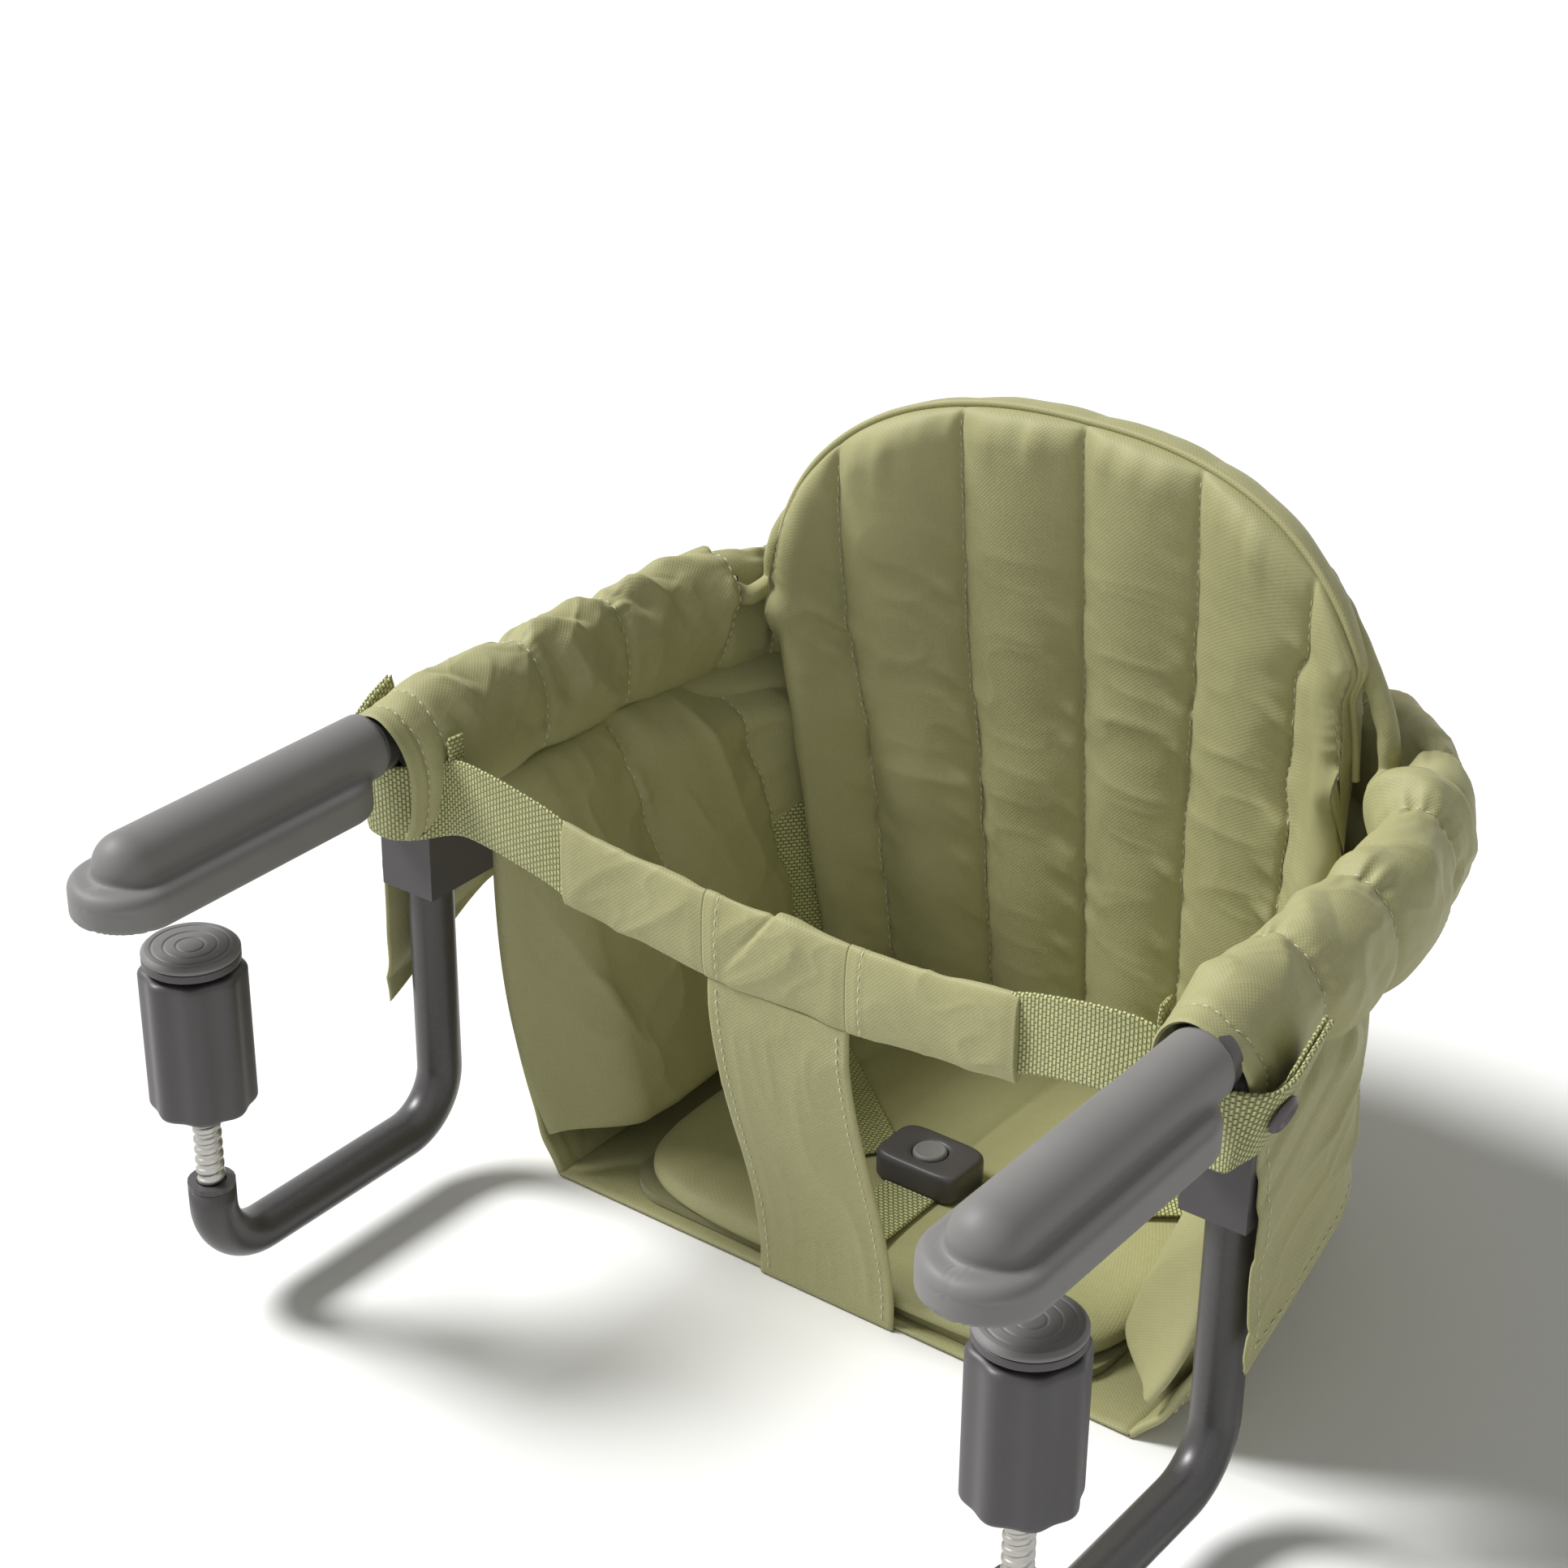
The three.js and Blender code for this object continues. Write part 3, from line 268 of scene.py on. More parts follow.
def grid_skin(grid, around=False, looped=False, slot=0):
    """Four-cornered faces over a grid. Around joins the last column to the first, looped the last row to it.
    The map lays the grid flat by the mean lengths of its rows and columns."""
    if around:
        grid = np.concatenate([grid, grid[:, :1]], axis=1)
    if looped:
        grid = np.concatenate([grid, grid[:1]], axis=0)
    rows, columns = grid.shape[:2]
    v = np.concatenate([[0], np.cumsum(np.linalg.norm(np.diff(grid, axis=0), axis=2).mean(axis=1))])
    u = np.concatenate([[0], np.cumsum(np.linalg.norm(np.diff(grid, axis=1), axis=2).mean(axis=0))])
    number = np.arange(rows * columns).reshape(rows, columns)
    faces = points_of(number[:-1, :-1], number[:-1, 1:], number[1:, 1:], number[1:, :-1])
    faces = faces.reshape(-1, 4)
    flat = np.stack(np.meshgrid(u, v), axis=-1).reshape(-1, 2)
    return {"points": grid.reshape(-1, 3), "faces": faces, "map": flat[faces],
            "slots": np.full(len(faces), slot)}


def flipped(skin):
    return {**skin, "faces": skin["faces"][:, ::-1], "map": skin["map"][:, ::-1]}


def joined(skins):
    """Several skins as one, their point numbers moved on."""
    starts = np.cumsum([0] + [len(s["points"]) for s in skins[:-1]])
    return {
        "points": np.concatenate([s["points"] for s in skins]),
        "faces": np.concatenate([s["faces"] + n for s, n in zip(skins, starts)]),
        "map": np.concatenate([s["map"] for s in skins]),
        "slots": np.concatenate([s["slots"] for s in skins]),
    }


def outward(skin):
    """The skin turned so that the volume inside it, the sum of its corners' triple products, is positive."""
    a, b, c, d = np.moveaxis(skin["points"][skin["faces"]], 1, 0)
    volume = np.sum(a * np.cross(b, c)) + np.sum(a * np.cross(c, d))
    return flipped(skin) if volume < 0 else skin


def facing(grid, row, column, direction, around=False):
    """1 where a grid's normal at a point looks along a direction, else -1."""
    return 1.0 if normals_of(grid, around)[row, column] @ np.asarray(direction, float) > 0 else -1.0


def ring_facing(grid, row):
    """1 where the normals of one ring of a tube look away from its middle, else -1."""
    spokes = grid[row] - grid[row].mean(axis=0)
    return 1.0 if np.sum(spokes * normals_of(grid, True)[row]) > 0 else -1.0


def capped(grid, *shares):
    """A tube's rings closed at both ends: drawn in to each share of their size, and to a point."""
    steps = np.array([0.0, *shares])[:, None, None]
    first, last = (mix(ring.mean(axis=0), ring[None], steps) for ring in (grid[0], grid[-1]))
    return np.concatenate([first, grid, last[::-1]])


def squared_oval(angle, half, deep, power):
    """Across and along of a squared oval, whose reach is (|cos/half|^n + |sin/deep|^n)^(-1/n)."""
    across, along = np.cos(angle), np.sin(angle)
    reach = ((np.abs(across) / half) ** power + (np.abs(along) / deep) ** power) ** (-1 / power)
    return reach * across, reach * along


def widened(grid, reach):
    """A grid with one more row and column on each side, a reach further out along itself."""
    for axis in (0, 1):
        lines = np.moveaxis(grid, axis, 0)
        first = lines[0] - unit(lines[1] - lines[0]) * reach
        last = lines[-1] + unit(lines[-1] - lines[-2]) * reach
        grid = np.moveaxis(np.concatenate([first[None], lines, last[None]]), 0, axis)
    return grid


def sheet_skin(middle, thickness, slot=0):
    """A closed cloth round a surface: half its thickness to both sides along the normals."""
    half = np.broadcast_to(np.asarray(thickness, float) / 2, middle.shape[:2])
    wide = widened(middle, np.mean(half))
    half = np.pad(half, 1)[..., None]
    normal = normals_of(wide)
    front = grid_skin(wide + normal * half, slot=slot)
    back = grid_skin(wide - normal * half, slot=slot)
    return outward(joined([front, flipped(back)]))


def turned(profile, base, axis, count=48, soft=0.6, slot=0):
    """A profile of radius and distance turned round an axis, its corners eased by a small curve. A profile
    that starts and ends on the axis closes there, another closes on itself."""
    profile = np.asarray(profile, float)
    open_ends = profile[0, 0] == 0 and profile[-1, 0] == 0
    points = profile if open_ends else profile[:-1]
    before = np.roll(points, 1, 0)
    after = np.roll(points, -1, 0)
    eased = []
    for i, (p, q, r) in enumerate(zip(before, points, after)):
        if open_ends and i in (0, len(points) - 1):
            eased.append(q[None])
            continue
        inward = unit(p - q) * min(soft, np.linalg.norm(p - q) * 0.45)
        onward = unit(r - q) * min(soft, np.linalg.norm(r - q) * 0.45)
        t = np.linspace(0, 1, 4)[:, None]
        eased.append((1 - t) ** 2 * (q + inward) + 2 * t * (1 - t) * q + t * t * (q + onward))
    line = np.concatenate(eased)
    axis = unit(np.asarray(axis, float))
    side = unit(np.cross(axis, [0.3, 0.9, 0.1] if abs(axis[1]) < 0.8 else [0.9, 0.3, 0.1]))
    other = np.cross(axis, side)
    angle = np.arange(count) / count * TURN
    spoke = np.cos(angle)[:, None] * side + np.sin(angle)[:, None] * other
    grid = np.asarray(base, float) + line[:, None, :1] * spoke + line[:, None, 1:] * axis
    return outward(grid_skin(grid, around=True, looped=not open_ends, slot=slot))


def stitches(line, normal, sizes, slot=1, rise=0.1):
    """Threads end to end along a line: each is a lozenge of five rings of six points, a little proud."""
    length, space, radius = sizes.stitch / MM, sizes.stitch_gap / MM, sizes.thread / MM
    run = np.concatenate([[0], np.cumsum(np.linalg.norm(np.diff(line, axis=0), axis=1))])
    count = max(1, int(run[-1] / (length + space)))
    middle = (np.arange(count) + 0.5) * run[-1] / count
    at = middle[:, None] + np.array([-0.5, -0.36, 0, 0.36, 0.5]) * length

    def lookup(values, where):
        return points_of(*(np.interp(where, run, values[:, k]) for k in range(3)))

    place, up = lookup(line, at), unit(lookup(normal, at))
    along = unit(np.gradient(place, axis=1))
    side = np.cross(along, up)
    girth = np.array([0, 0.8, 1, 0.8, 0]) * radius
    lift = np.array([-0.6, 0.1, 0.5, 0.1, -0.6]) * radius + rise
    angle = np.arange(6) / 6 * TURN
    ring = np.cos(angle)[:, None] * up[:, :, None] + np.sin(angle)[:, None] * side[:, :, None] * 1.15
    points = (place + up * lift[:, None])[:, :, None] + ring * girth[:, None, None]
    number = np.arange(count * 30).reshape(count, 5, 6)
    after = np.roll(number, -1, 2)
    faces = points_of(number[:, :-1], after[:, :-1], after[:, 1:], number[:, 1:]).reshape(-1, 4)
    return outward({"points": points.reshape(-1, 3), "faces": faces,
                    "map": np.zeros((len(faces), 4, 2)), "slots": np.full(len(faces), slot)})


def seam_on(grid, rows, columns, sizes, sign=1.0, around=False, rise=0.1, slot=1):
    """Stitches along a line given by rows and columns of a finished grid."""
    normal = normals_of(grid, around) * sign
    return stitches(sampled(grid, rows, columns), sampled(normal, rows, columns), sizes, slot, rise)


def make_piece(name, skins, materials, smooth=True):
    """One mesh object from closed skins in millimetres, its poles and edges merged."""
    skin = joined(skins)
    mesh = bpy.data.meshes.new(name)
    faces = skin["faces"]
    mesh.vertices.add(len(skin["points"]))
    mesh.vertices.foreach_set("co", (skin["points"] * MM).astype(np.float32).ravel())
    mesh.loops.add(faces.size)
    mesh.loops.foreach_set("vertex_index", faces.astype(np.int32).ravel())
    mesh.polygons.add(len(faces))
    mesh.polygons.foreach_set("loop_start", np.arange(0, faces.size, 4, dtype=np.int32))
    mesh.polygons.foreach_set("material_index", skin["slots"].astype(np.int32))
    flat = mesh.uv_layers.new(name="cloth")
    flat.data.foreach_set("uv", (skin["map"] * MM).astype(np.float32).ravel())
    mesh.update(calc_edges=True)
    shape = bmesh.new()
    shape.from_mesh(mesh)
    bmesh.ops.remove_doubles(shape, verts=shape.verts, dist=2e-6)
    bmesh.ops.dissolve_degenerate(shape, edges=shape.edges, dist=1e-7)
    shape.to_mesh(mesh)
    shape.free()
    mesh.polygons.foreach_set("use_smooth", [smooth] * len(mesh.polygons))
    for material in materials:
        mesh.materials.append(material)
    piece = bpy.data.objects.new(name, mesh)
    bpy.context.scene.collection.objects.link(piece)
    return piece


# Materials
def add_node(tree, kind, inputs=None, **settings):
    """A node with its settings; each input is a value or the output that feeds it."""
    node = tree.nodes.new(kind)
    for key, value in settings.items():
        setattr(node, key, value)
    for key, value in (inputs or {}).items():
        if isinstance(value, bpy.types.NodeSocket):
            tree.links.new(value, node.inputs[key])
        else:
            node.inputs[key].default_value = value
    return node


def maths(tree, operation, *values, **settings):
    """The result of one sum on values or outputs."""
    settings["operation"] = operation
    return add_node(tree, "ShaderNodeMath", dict(enumerate(values)), **settings).outputs[0]


def ranged(tree, value, *limits):
    """A value carried from a low and high to another low and high, or to 0 and 1 where those aren't given."""
    return add_node(tree, "ShaderNodeMapRange", {0: value, **dict(enumerate(limits, 1))}).outputs[0]


def noise_at(tree, place, scale, detail, stretch=None):
    """Noise read at a place, which is stretched first where three scales are given."""
    if stretch:
        place = add_node(tree, "ShaderNodeMapping", {"Vector": place, "Scale": stretch}).outputs[0]
    inputs = {"Vector": place, "Scale": scale, "Detail": detail}
    return add_node(tree, "ShaderNodeTexNoise", inputs).outputs[0]


def bumped(tree, height, strength, distance):
    inputs = {"Height": height, "Strength": strength, "Distance": distance}
    return add_node(tree, "ShaderNodeBump", inputs).outputs[0]


def opaque(colour, share=1.0):
    return (*(c * share for c in colour), 1.0)


def colour_mix(tree, factor, first, second, **settings):
    """One colour mixed into another by a factor."""
    inputs = {0: factor, 6: first, 7: second}
    return add_node(tree, "ShaderNodeMix", inputs, data_type="RGBA", **settings).outputs[2]


def shaded(tree, factor, colour, share):
    """A colour that falls to a share of itself where the factor is 0."""
    return colour_mix(tree, factor, opaque(colour, share), opaque(colour))


def on_object(tree):
    return add_node(tree, "ShaderNodeTexCoord").outputs["Object"]


def on_cloth(tree):
    return add_node(tree, "ShaderNodeUVMap", uv_map="cloth").outputs[0]


def empty_material(name):
    material = bpy.data.materials.new(name)
    material.use_nodes = True
    material.node_tree.nodes.clear()
    return material, material.node_tree


def finish_material(tree, colour, **settings):
    """The surface shader: its colour, and each other socket by name as a plain value or an output."""
    inputs = {key.replace("_", " "): value for key, value in settings.items()}
    shader = add_node(tree, "ShaderNodeBsdfPrincipled", {"Base Color": colour, **inputs})
    add_node(tree, "ShaderNodeOutputMaterial", {"Surface": shader.outputs[0]})


def crossed_threads(tree, flat, pitch):
    """Plain weave from the flat map: the product of one sine across and one along, from -1 to 1."""
    parts = add_node(tree, "ShaderNodeSeparateXYZ", {0: flat})
    phases = [maths(tree, "MULTIPLY", parts.outputs[part], math.pi / pitch) for part in (0, 1)]
    return maths(tree, "MULTIPLY", *(maths(tree, "SINE", phase) for phase in phases))


# Cotton and polyester poplin: matt, with a soft sheen at glancing angles and a fine plain weave.
# Its real threads are 0.3 mm apart and are drawn at 0.9 mm, so that they show at this picture's scale.
def woven_poplin(sizes, colours):
    material, tree = empty_material("Woven poplin")
    flat = on_cloth(tree)
    cross = crossed_threads(tree, flat, sizes.weave)
    slub = noise_at(tree, flat, 1.0, 3.0, (140, 1700, 1))
    upright = noise_at(tree, flat, 1.0, 2.0, (1900, 120, 1))
    cloud = noise_at(tree, flat, 22.0, 4.0)
    # Painted shade: the weave's height lightens raised threads and darkens sunk ones; slubs, streaks and
    # clouds add random tone.
    raised = maths(tree, "MULTIPLY_ADD", cross, 0.13, 0.02)
    streak = maths(tree, "MULTIPLY_ADD", slub, 0.45, raised)
    crossing = maths(tree, "MULTIPLY_ADD", upright, 0.45, streak)
    thread_shade_and_tone = maths(tree, "MULTIPLY_ADD", cloud, 0.25, crossing, use_clamp=True)
    height = maths(tree, "MULTIPLY_ADD", slub, 0.8, cross)
    finish_material(tree, colour_mix(tree, thread_shade_and_tone, opaque(colours.cloth_shaded), opaque(colours.cloth)),
                    Normal=bumped(tree, height, 0.22, 0.0002), Roughness=0.6, Sheen_Weight=0.1,
                    Sheen_Roughness=0.4, Sheen_Tint=(0.95, 0.93, 0.72, 1.0), Specular_IOR_Level=0.4)
    return material


# Polypropylene webbing: coarse basket weave of shiny round bumps over a deeper ground, which is painted in
# shade.
def ribbed_webbing(sizes, colours):
    material, tree = empty_material("Basket weave webbing")
    flat = on_cloth(tree)
    bumps = add_node(tree, "ShaderNodeTexBrick", {
        "Vector": flat, "Scale": 100.0, "Brick Width": sizes.rib * 125, "Row Height": sizes.rib * 85,
        "Mortar Size": sizes.rib * 26, "Mortar Smooth": 1.0, "Bias": 0.0,
        "Color1": (1, 1, 1, 1), "Color2": (0.72, 0.72, 0.72, 1), "Mortar": (0.9, 0.9, 0.9, 1)}, offset=0.5)
    raised = maths(tree, "SUBTRACT", 1.0, bumps.outputs["Fac"])
    fuzzy = maths(tree, "MULTIPLY_ADD", noise_at(tree, flat, 1600.0, 3.0), 0.35, raised)
    shade = ranged(tree, fuzzy, 0.15, 0.95)
    # Painted shade: the ground between the bumps takes the darker colour, the bumps the lit one.
    colour = colour_mix(tree, shade, opaque(colours.webbing_deep), opaque(colours.webbing))
    uneven = colour_mix(tree, 0.5, colour, bumps.outputs["Color"], blend_type="MULTIPLY")
    finish_material(tree, uneven, Normal=bumped(tree, fuzzy, 1.0, 0.0008), Roughness=0.5, Sheen_Weight=0.08,
                    Sheen_Roughness=0.5)
    return material


# Spun polyester sewing thread: a little lighter and glossier than the cloth, twisted.
def sewing_thread(sizes, colours):
    material, tree = empty_material("Polyester sewing thread")
    twist = noise_at(tree, on_object(tree), 2200.0, 1.0)
    finish_material(tree, shaded(tree, twist, colours.thread, 0.72), Roughness=0.5)
    return material


# Moulded rubber: matt, with a very fine grain from the mould and faint cloudy rubbing marks.
def moulded_rubber(sizes, colours):
    material, tree = empty_material("Moulded rubber")
    place = on_object(tree)
    grain = noise_at(tree, place, 2600.0, 2.0)
    cloud = noise_at(tree, place, 45.0, 5.0)
    rough = ranged(tree, cloud, 0.3, 0.7, 0.5, 0.62)
    finish_material(tree, shaded(tree, ranged(tree, cloud, 0.3, 0.7), colours.rubber, 0.9),
                    Normal=bumped(tree, grain, 0.12, 0.0001), Roughness=rough, Specular_IOR_Level=0.42)
    return material


# Powder-coated steel tube: satin, with the slight orange peel of baked powder.
def powder_coat(sizes, colours):
    material, tree = empty_material("Powder coated steel")
    peel = noise_at(tree, on_object(tree), 900.0, 1.0)
    finish_material(tree, shaded(tree, ranged(tree, peel, 0.35, 0.65), colours.paint, 0.85),
                    Normal=bumped(tree, peel, 0.25, 0.0001), Roughness=0.38, Coat_Weight=0.15,
                    Coat_Roughness=0.3)
    return material


# Zinc-plated steel: bright metal with fine turning marks and cloudy roughness.
def zinc_plate(sizes, colours):
    material, tree = empty_material("Zinc plated steel")
    turning = noise_at(tree, on_object(tree), 1.0, 2.0, (300, 300, 4000))
    finish_material(tree, shaded(tree, turning, colours.steel, 0.8), Metallic=1.0,
                    Roughness=ranged(tree, turning, 0.2, 0.8, 0.25, 0.42))
    return material


# Moulded nylon: fine spark-eroded texture from the mould.
def moulded_nylon(sizes, colours, name="Moulded nylon", key="plastic"):
    material, tree = empty_material(name)
    place = on_object(tree)
    grain = noise_at(tree, place, 1600.0, 2.0)
    cloud = noise_at(tree, place, 60.0, 3.0)
    finish_material(tree, shaded(tree, cloud, getattr(colours, key), 0.86),
                    Normal=bumped(tree, grain, 0.22, 0.0001), Roughness=0.45)
    return material


# Acetal cap: smooth and slightly glossy.
def acetal_cap(sizes, colours):
    return moulded_nylon(sizes, colours, "Acetal snap cap", "snap")


# Board in a sleeve of olive felt, between the bag's floor and the seat pad.
def covered_board(sizes, colours):
    material, tree = empty_material("Felt covered board")
    grain = noise_at(tree, on_object(tree), 1.0, 4.0, (700, 1900, 1200))
    colour = colour_mix(tree, grain, opaque(colours.cloth_shaded, 0.62), opaque(colours.cloth_shaded, 0.9))
    finish_material(tree, colour, Normal=bumped(tree, grain, 0.5, 0.0003), Roughness=0.9, Sheen_Weight=0.3,
                    Sheen_Roughness=0.5)
    return material


MAKERS = {
    "cloth": woven_poplin, "webbing": ribbed_webbing, "thread": sewing_thread, "rubber": moulded_rubber,
    "paint": powder_coat, "steel": zinc_plate, "plastic": moulded_nylon, "snap": acetal_cap,
    "board": covered_board,
}
made = {}


def finishes(*names):
    """The named materials, each made once from the scene's sizes and colours."""
    scene = bpy.context.scene
    for name in names:
        if name not in made:
            made[name] = MAKERS[name](scene.chair_sizes, scene.chair_colours)
    return [made[name] for name in names]


# Shapes of the rim and its padding
def rim_at(degrees):
    """The rim's middle line, a squared half oval, by its angle from the right arm."""
    across, along = squared_oval(np.radians(degrees), ARM, RIM_DEEP, RIM_POWER)
    return points_of(across, RIM_FRONT + along, np.full(np.shape(across), RIM_HEIGHT))


def waist_at(degrees):
    """The bag's plan under the rim, a narrower squared half oval."""
    across, along = squared_oval(np.radians(degrees), WAIST_HALF, RIM_DEEP, WAIST_POWER)
    return points_of(across, RIM_FRONT + along, 0 * across)


def oval(y, angle, shrink=0.0):
    """The padded section: an upright oval 15.5 mm outward, 27 inward at the front and 15 behind, 60 high."""
    back = smoothstep(0, 1, (y - RIM_FRONT) / (HINGE[1] - RIM_FRONT) - 0.25)
    inner = mix(27.0, 15.0, back)
    across = (15.5 - inner) / 2 + ((15.5 + inner) / 2 - shrink) * np.cos(angle)
    return points_of(across, (30 - shrink) * np.sin(angle) - 5)


def rim_path(start, end, spacing):
    """Even points along the rim between two angles."""
    dense = rim_at(np.linspace(start, end, 2000))
    length = np.sum(np.linalg.norm(np.diff(dense, axis=0), axis=1))
    return along_line(dense, int(length / spacing) + 1, smooth=False)


def rim_sides(path):
    along = unit(np.gradient(path, axis=0))
    return np.cross(along, [0, 0, 1.0])


def padding_relief(grid, run, seams, sizes, seed, top, arc):
    """How far padded cloth stands out: swollen between cross seams, drawn in at each seam with small gathers
    beside it, and folded on the slant in between."""
    away = np.min(np.abs(run[:, None] - np.asarray(seams)[None]), axis=1)[:, None]
    depth, pucker, wrinkle = sizes.seam_depth / MM, sizes.pucker / MM, sizes.wrinkle / MM
    pinch = -depth * np.exp(-(away / 3.0) ** 2) * top
    swell = 2.3 * (1 - np.exp(-(away / 13) ** 2)) - 1.3
    around = points_of(arc[None] * 0.45, run[:, None] * 0.28, 0.0)
    gathers = 1.5 * pucker * np.exp(-(away / 12) ** 2) * noise(around, (5.5, 5.5, 1), seed) * top
    slanted = grid @ np.array([[0.8, 0.5, 0.1], [-0.6, 0.8, 0.2], [0.3, -0.3, 0.95]])
    folds = wrinkle * (creases(slanted, (15, 60, 34), seed + 1) - 0.45) * (0.35 + 0.65 * top)
    broad = 1.3 * noise(grid, (46, 46, 46), seed + 2)
    return pinch + swell + gathers + folds + broad


def ridges(run, arc, strokes, seed):
    """Long folds set one by one. Each runs from a distance and angle to another, with a height and a half
    width in millimetres: exp(-|d|^1.5) on its back, with a narrower dip beside it, fading at both ends."""
    place = points_of(run, arc * 0.45, 0.0)
    warp = 1.6 * noise(place, (26, 18, 1), seed)
    total = np.zeros(place.shape[:-1])
    for y0, a0, y1, a1, height, width in strokes:
        step = np.array([y1 - y0, (a1 - a0) * 0.45])
        length = np.linalg.norm(step)
        ahead, aside = step / length
        dx, dy = run - y0, (arc - a0) * 0.45
        t = (dx * ahead + dy * aside) / length
        d = (dx * aside - dy * ahead + warp) / width
        fade = smoothstep(-0.1, 0.35, t) * smoothstep(1.1, 0.7, t)
        back = np.exp(-np.abs(d) ** 1.5)
        dip = 0.5 * np.exp(-1.4 * np.abs(d - 1.6) ** 1.2)
        total = total + height * fade * (back - dip)
    return total


def corner_share(base, z):
    """How far the outline draws in below the corner on its right side, as a share of its half width."""
    return 0.065 * smoothstep(0, 1, base / BACK_HALF) * smoothstep(74, 54, z) * smoothstep(-20, 10, z)


def edge_gap(x, z, edge):
    """Distance from each point of a flat grid to the nearest of its edge points."""
    away = np.full(x.shape, 1e9)
    for part in np.array_split(edge, 50):
        gap = np.hypot(x[..., None] - part[:, 0], z[..., None] - part[:, 1]).min(axis=-1)
        away = np.minimum(away, gap)
    return away


def hoop_path():
    """The wire's middle line in even steps, its bends eased by a running mean of nine points."""
    padded = np.pad(along_line(hoop_line(), 420, smooth=False), ((4, 4), (0, 0)), "edge")
    return np.stack([np.convolve(column, np.ones(9) / 9, "valid") for column in padded.T], 1)


def tube_skin(line, radius, count=24):
    """A closed tube of cloth along a line, its radius given point by point."""
    side = np.cross([0, 1.0, -1.0], unit(np.gradient(line, axis=0)))
    ring = circle(1, count)[None] * np.asarray(radius)[..., None]
    grid = carried(line, side, ring)
    return outward(grid_skin(capped(grid, 0.9), around=True))


# Pieces of the arms
def shoe_distance(p, fillet):
    """Distance to a shoe: a slab with round ends and eased edges, melted into a domed round tube cover."""
    x, y, z = np.moveaxis(p, -1, 0)
    flat = np.hypot(x, y - np.clip(y, -128.6, -26.0)) - 23.2
    level = np.abs(z - 7.65) - 7.65
    ease = np.where(z > 7.65, 5.0, 1.3)
    over = np.hypot(np.maximum(flat + ease, 0), np.maximum(level + ease, 0))
    slab = over - ease + np.minimum(np.maximum(flat, level) + ease, 0)
    away = np.sqrt(x ** 2 + (y - np.maximum(y, -127.25)) ** 2 + (z - AXIS) ** 2) - 14.35
    end = y - 3.65
    cover = np.hypot(np.maximum(away + 1.2, 0), np.maximum(end + 1.2, 0)) - 1.2 \
        + np.minimum(np.maximum(away, end) + 1.2, 0)
    share = np.clip(0.5 + 0.5 * (cover - slab) / fillet, 0, 1)
    melted = mix(cover, slab, share) - fillet * share * (1 - share)
    return np.maximum(melted, y - 3.65)


def shoe_skin(x, fillet):
    """Rays from a line inside the shoe, out to where its distance is zero, with a fine parting line."""
    tip = np.linspace(-math.pi / 2, 0, 26)
    middle = np.linspace(-124, -12, 90)
    pitch = np.concatenate([tip, np.zeros(len(middle) - 2), -tip[::-1]])
    start = np.concatenate([np.full(26, middle[0]), middle[1:-1], np.full(26, middle[-1])])
    angle = np.arange(112) / 112 * TURN
    pitch = pitch[:, None]
    ray = points_of(np.cos(pitch) * np.cos(angle), np.sin(pitch), np.cos(pitch) * np.sin(angle))
    centre = np.stack([np.zeros(len(start)), start, np.full(len(start), 11.0)], axis=1)[:, None]
    reach = np.zeros(ray.shape[:2])
    for _ in range(70):
        reach -= shoe_distance(centre + ray * reach[..., None], fillet) * 0.8
    grid = centre + ray * reach[..., None]
    part = np.exp(-((grid[..., 2] - 9.2) / 0.35) ** 2) * (np.abs(ray[..., 2]) < 0.5)
    grid = grid - ray * (0.22 * part)[..., None]
    grid[..., 2] = np.maximum(grid[..., 2], 0)
    return outward(grid_skin(grid + np.array([x, 0, 0]), around=True))


def arm_line(x):
    """The arm tube's middle line: back through the shoe, down the post, forward below and up to the clamp."""
    arc = np.linspace(0, 1, 18)[:, None] * TURN / 4

    def bend(y, z, start, sign):
        a = start + sign * arc
        return np.concatenate([np.full_like(a, x), y + BEND * np.cos(a), z + BEND * np.sin(a)], axis=1)

    return np.concatenate([
        [[x, -128.7, AXIS]], bend(POST - BEND, AXIS - BEND, TURN / 4, -1), bend(POST - BEND, ARM_FOOT, 0, -1),
        bend(CLAMP_Y + BEND, ARM_FOOT, -TURN / 4, -1), [[x, CLAMP_Y, ARM_FOOT + 9]]])


def arm_tube_skin(x):
    path = arm_line(x)
    outer, inner = (carried(path, [1.0, 0, 0], np.broadcast_to(circle(radius, 40), (len(path), 40, 2)))
                    for radius in (10, 8.2))
    return outward(grid_skin(np.concatenate([outer, inner[::-1]]), around=True, looped=True))


def spindle_skin(x):
    """A rod whose radius follows a trapezium wave of z/5 less the angle: a 5 mm thread, 1.1 mm deep."""
    z = np.linspace(-160, -87, 210)[:, None]
    angle = np.arange(40)[None] / 40 * TURN
    wave = np.abs(((z / 5 - angle / TURN) % 1) - 0.5) * 2
    ends = smoothstep(-160, -158, z) * smoothstep(-87, -89, z)
    radius = 4.9 + 1.1 * smoothstep(0.15, 0.75, wave) * ends
    grid = points_of(x + radius * np.cos(angle), CLAMP_Y + radius * np.sin(angle), z + 0 * radius)
    return outward(grid_skin(capped(grid), around=True))


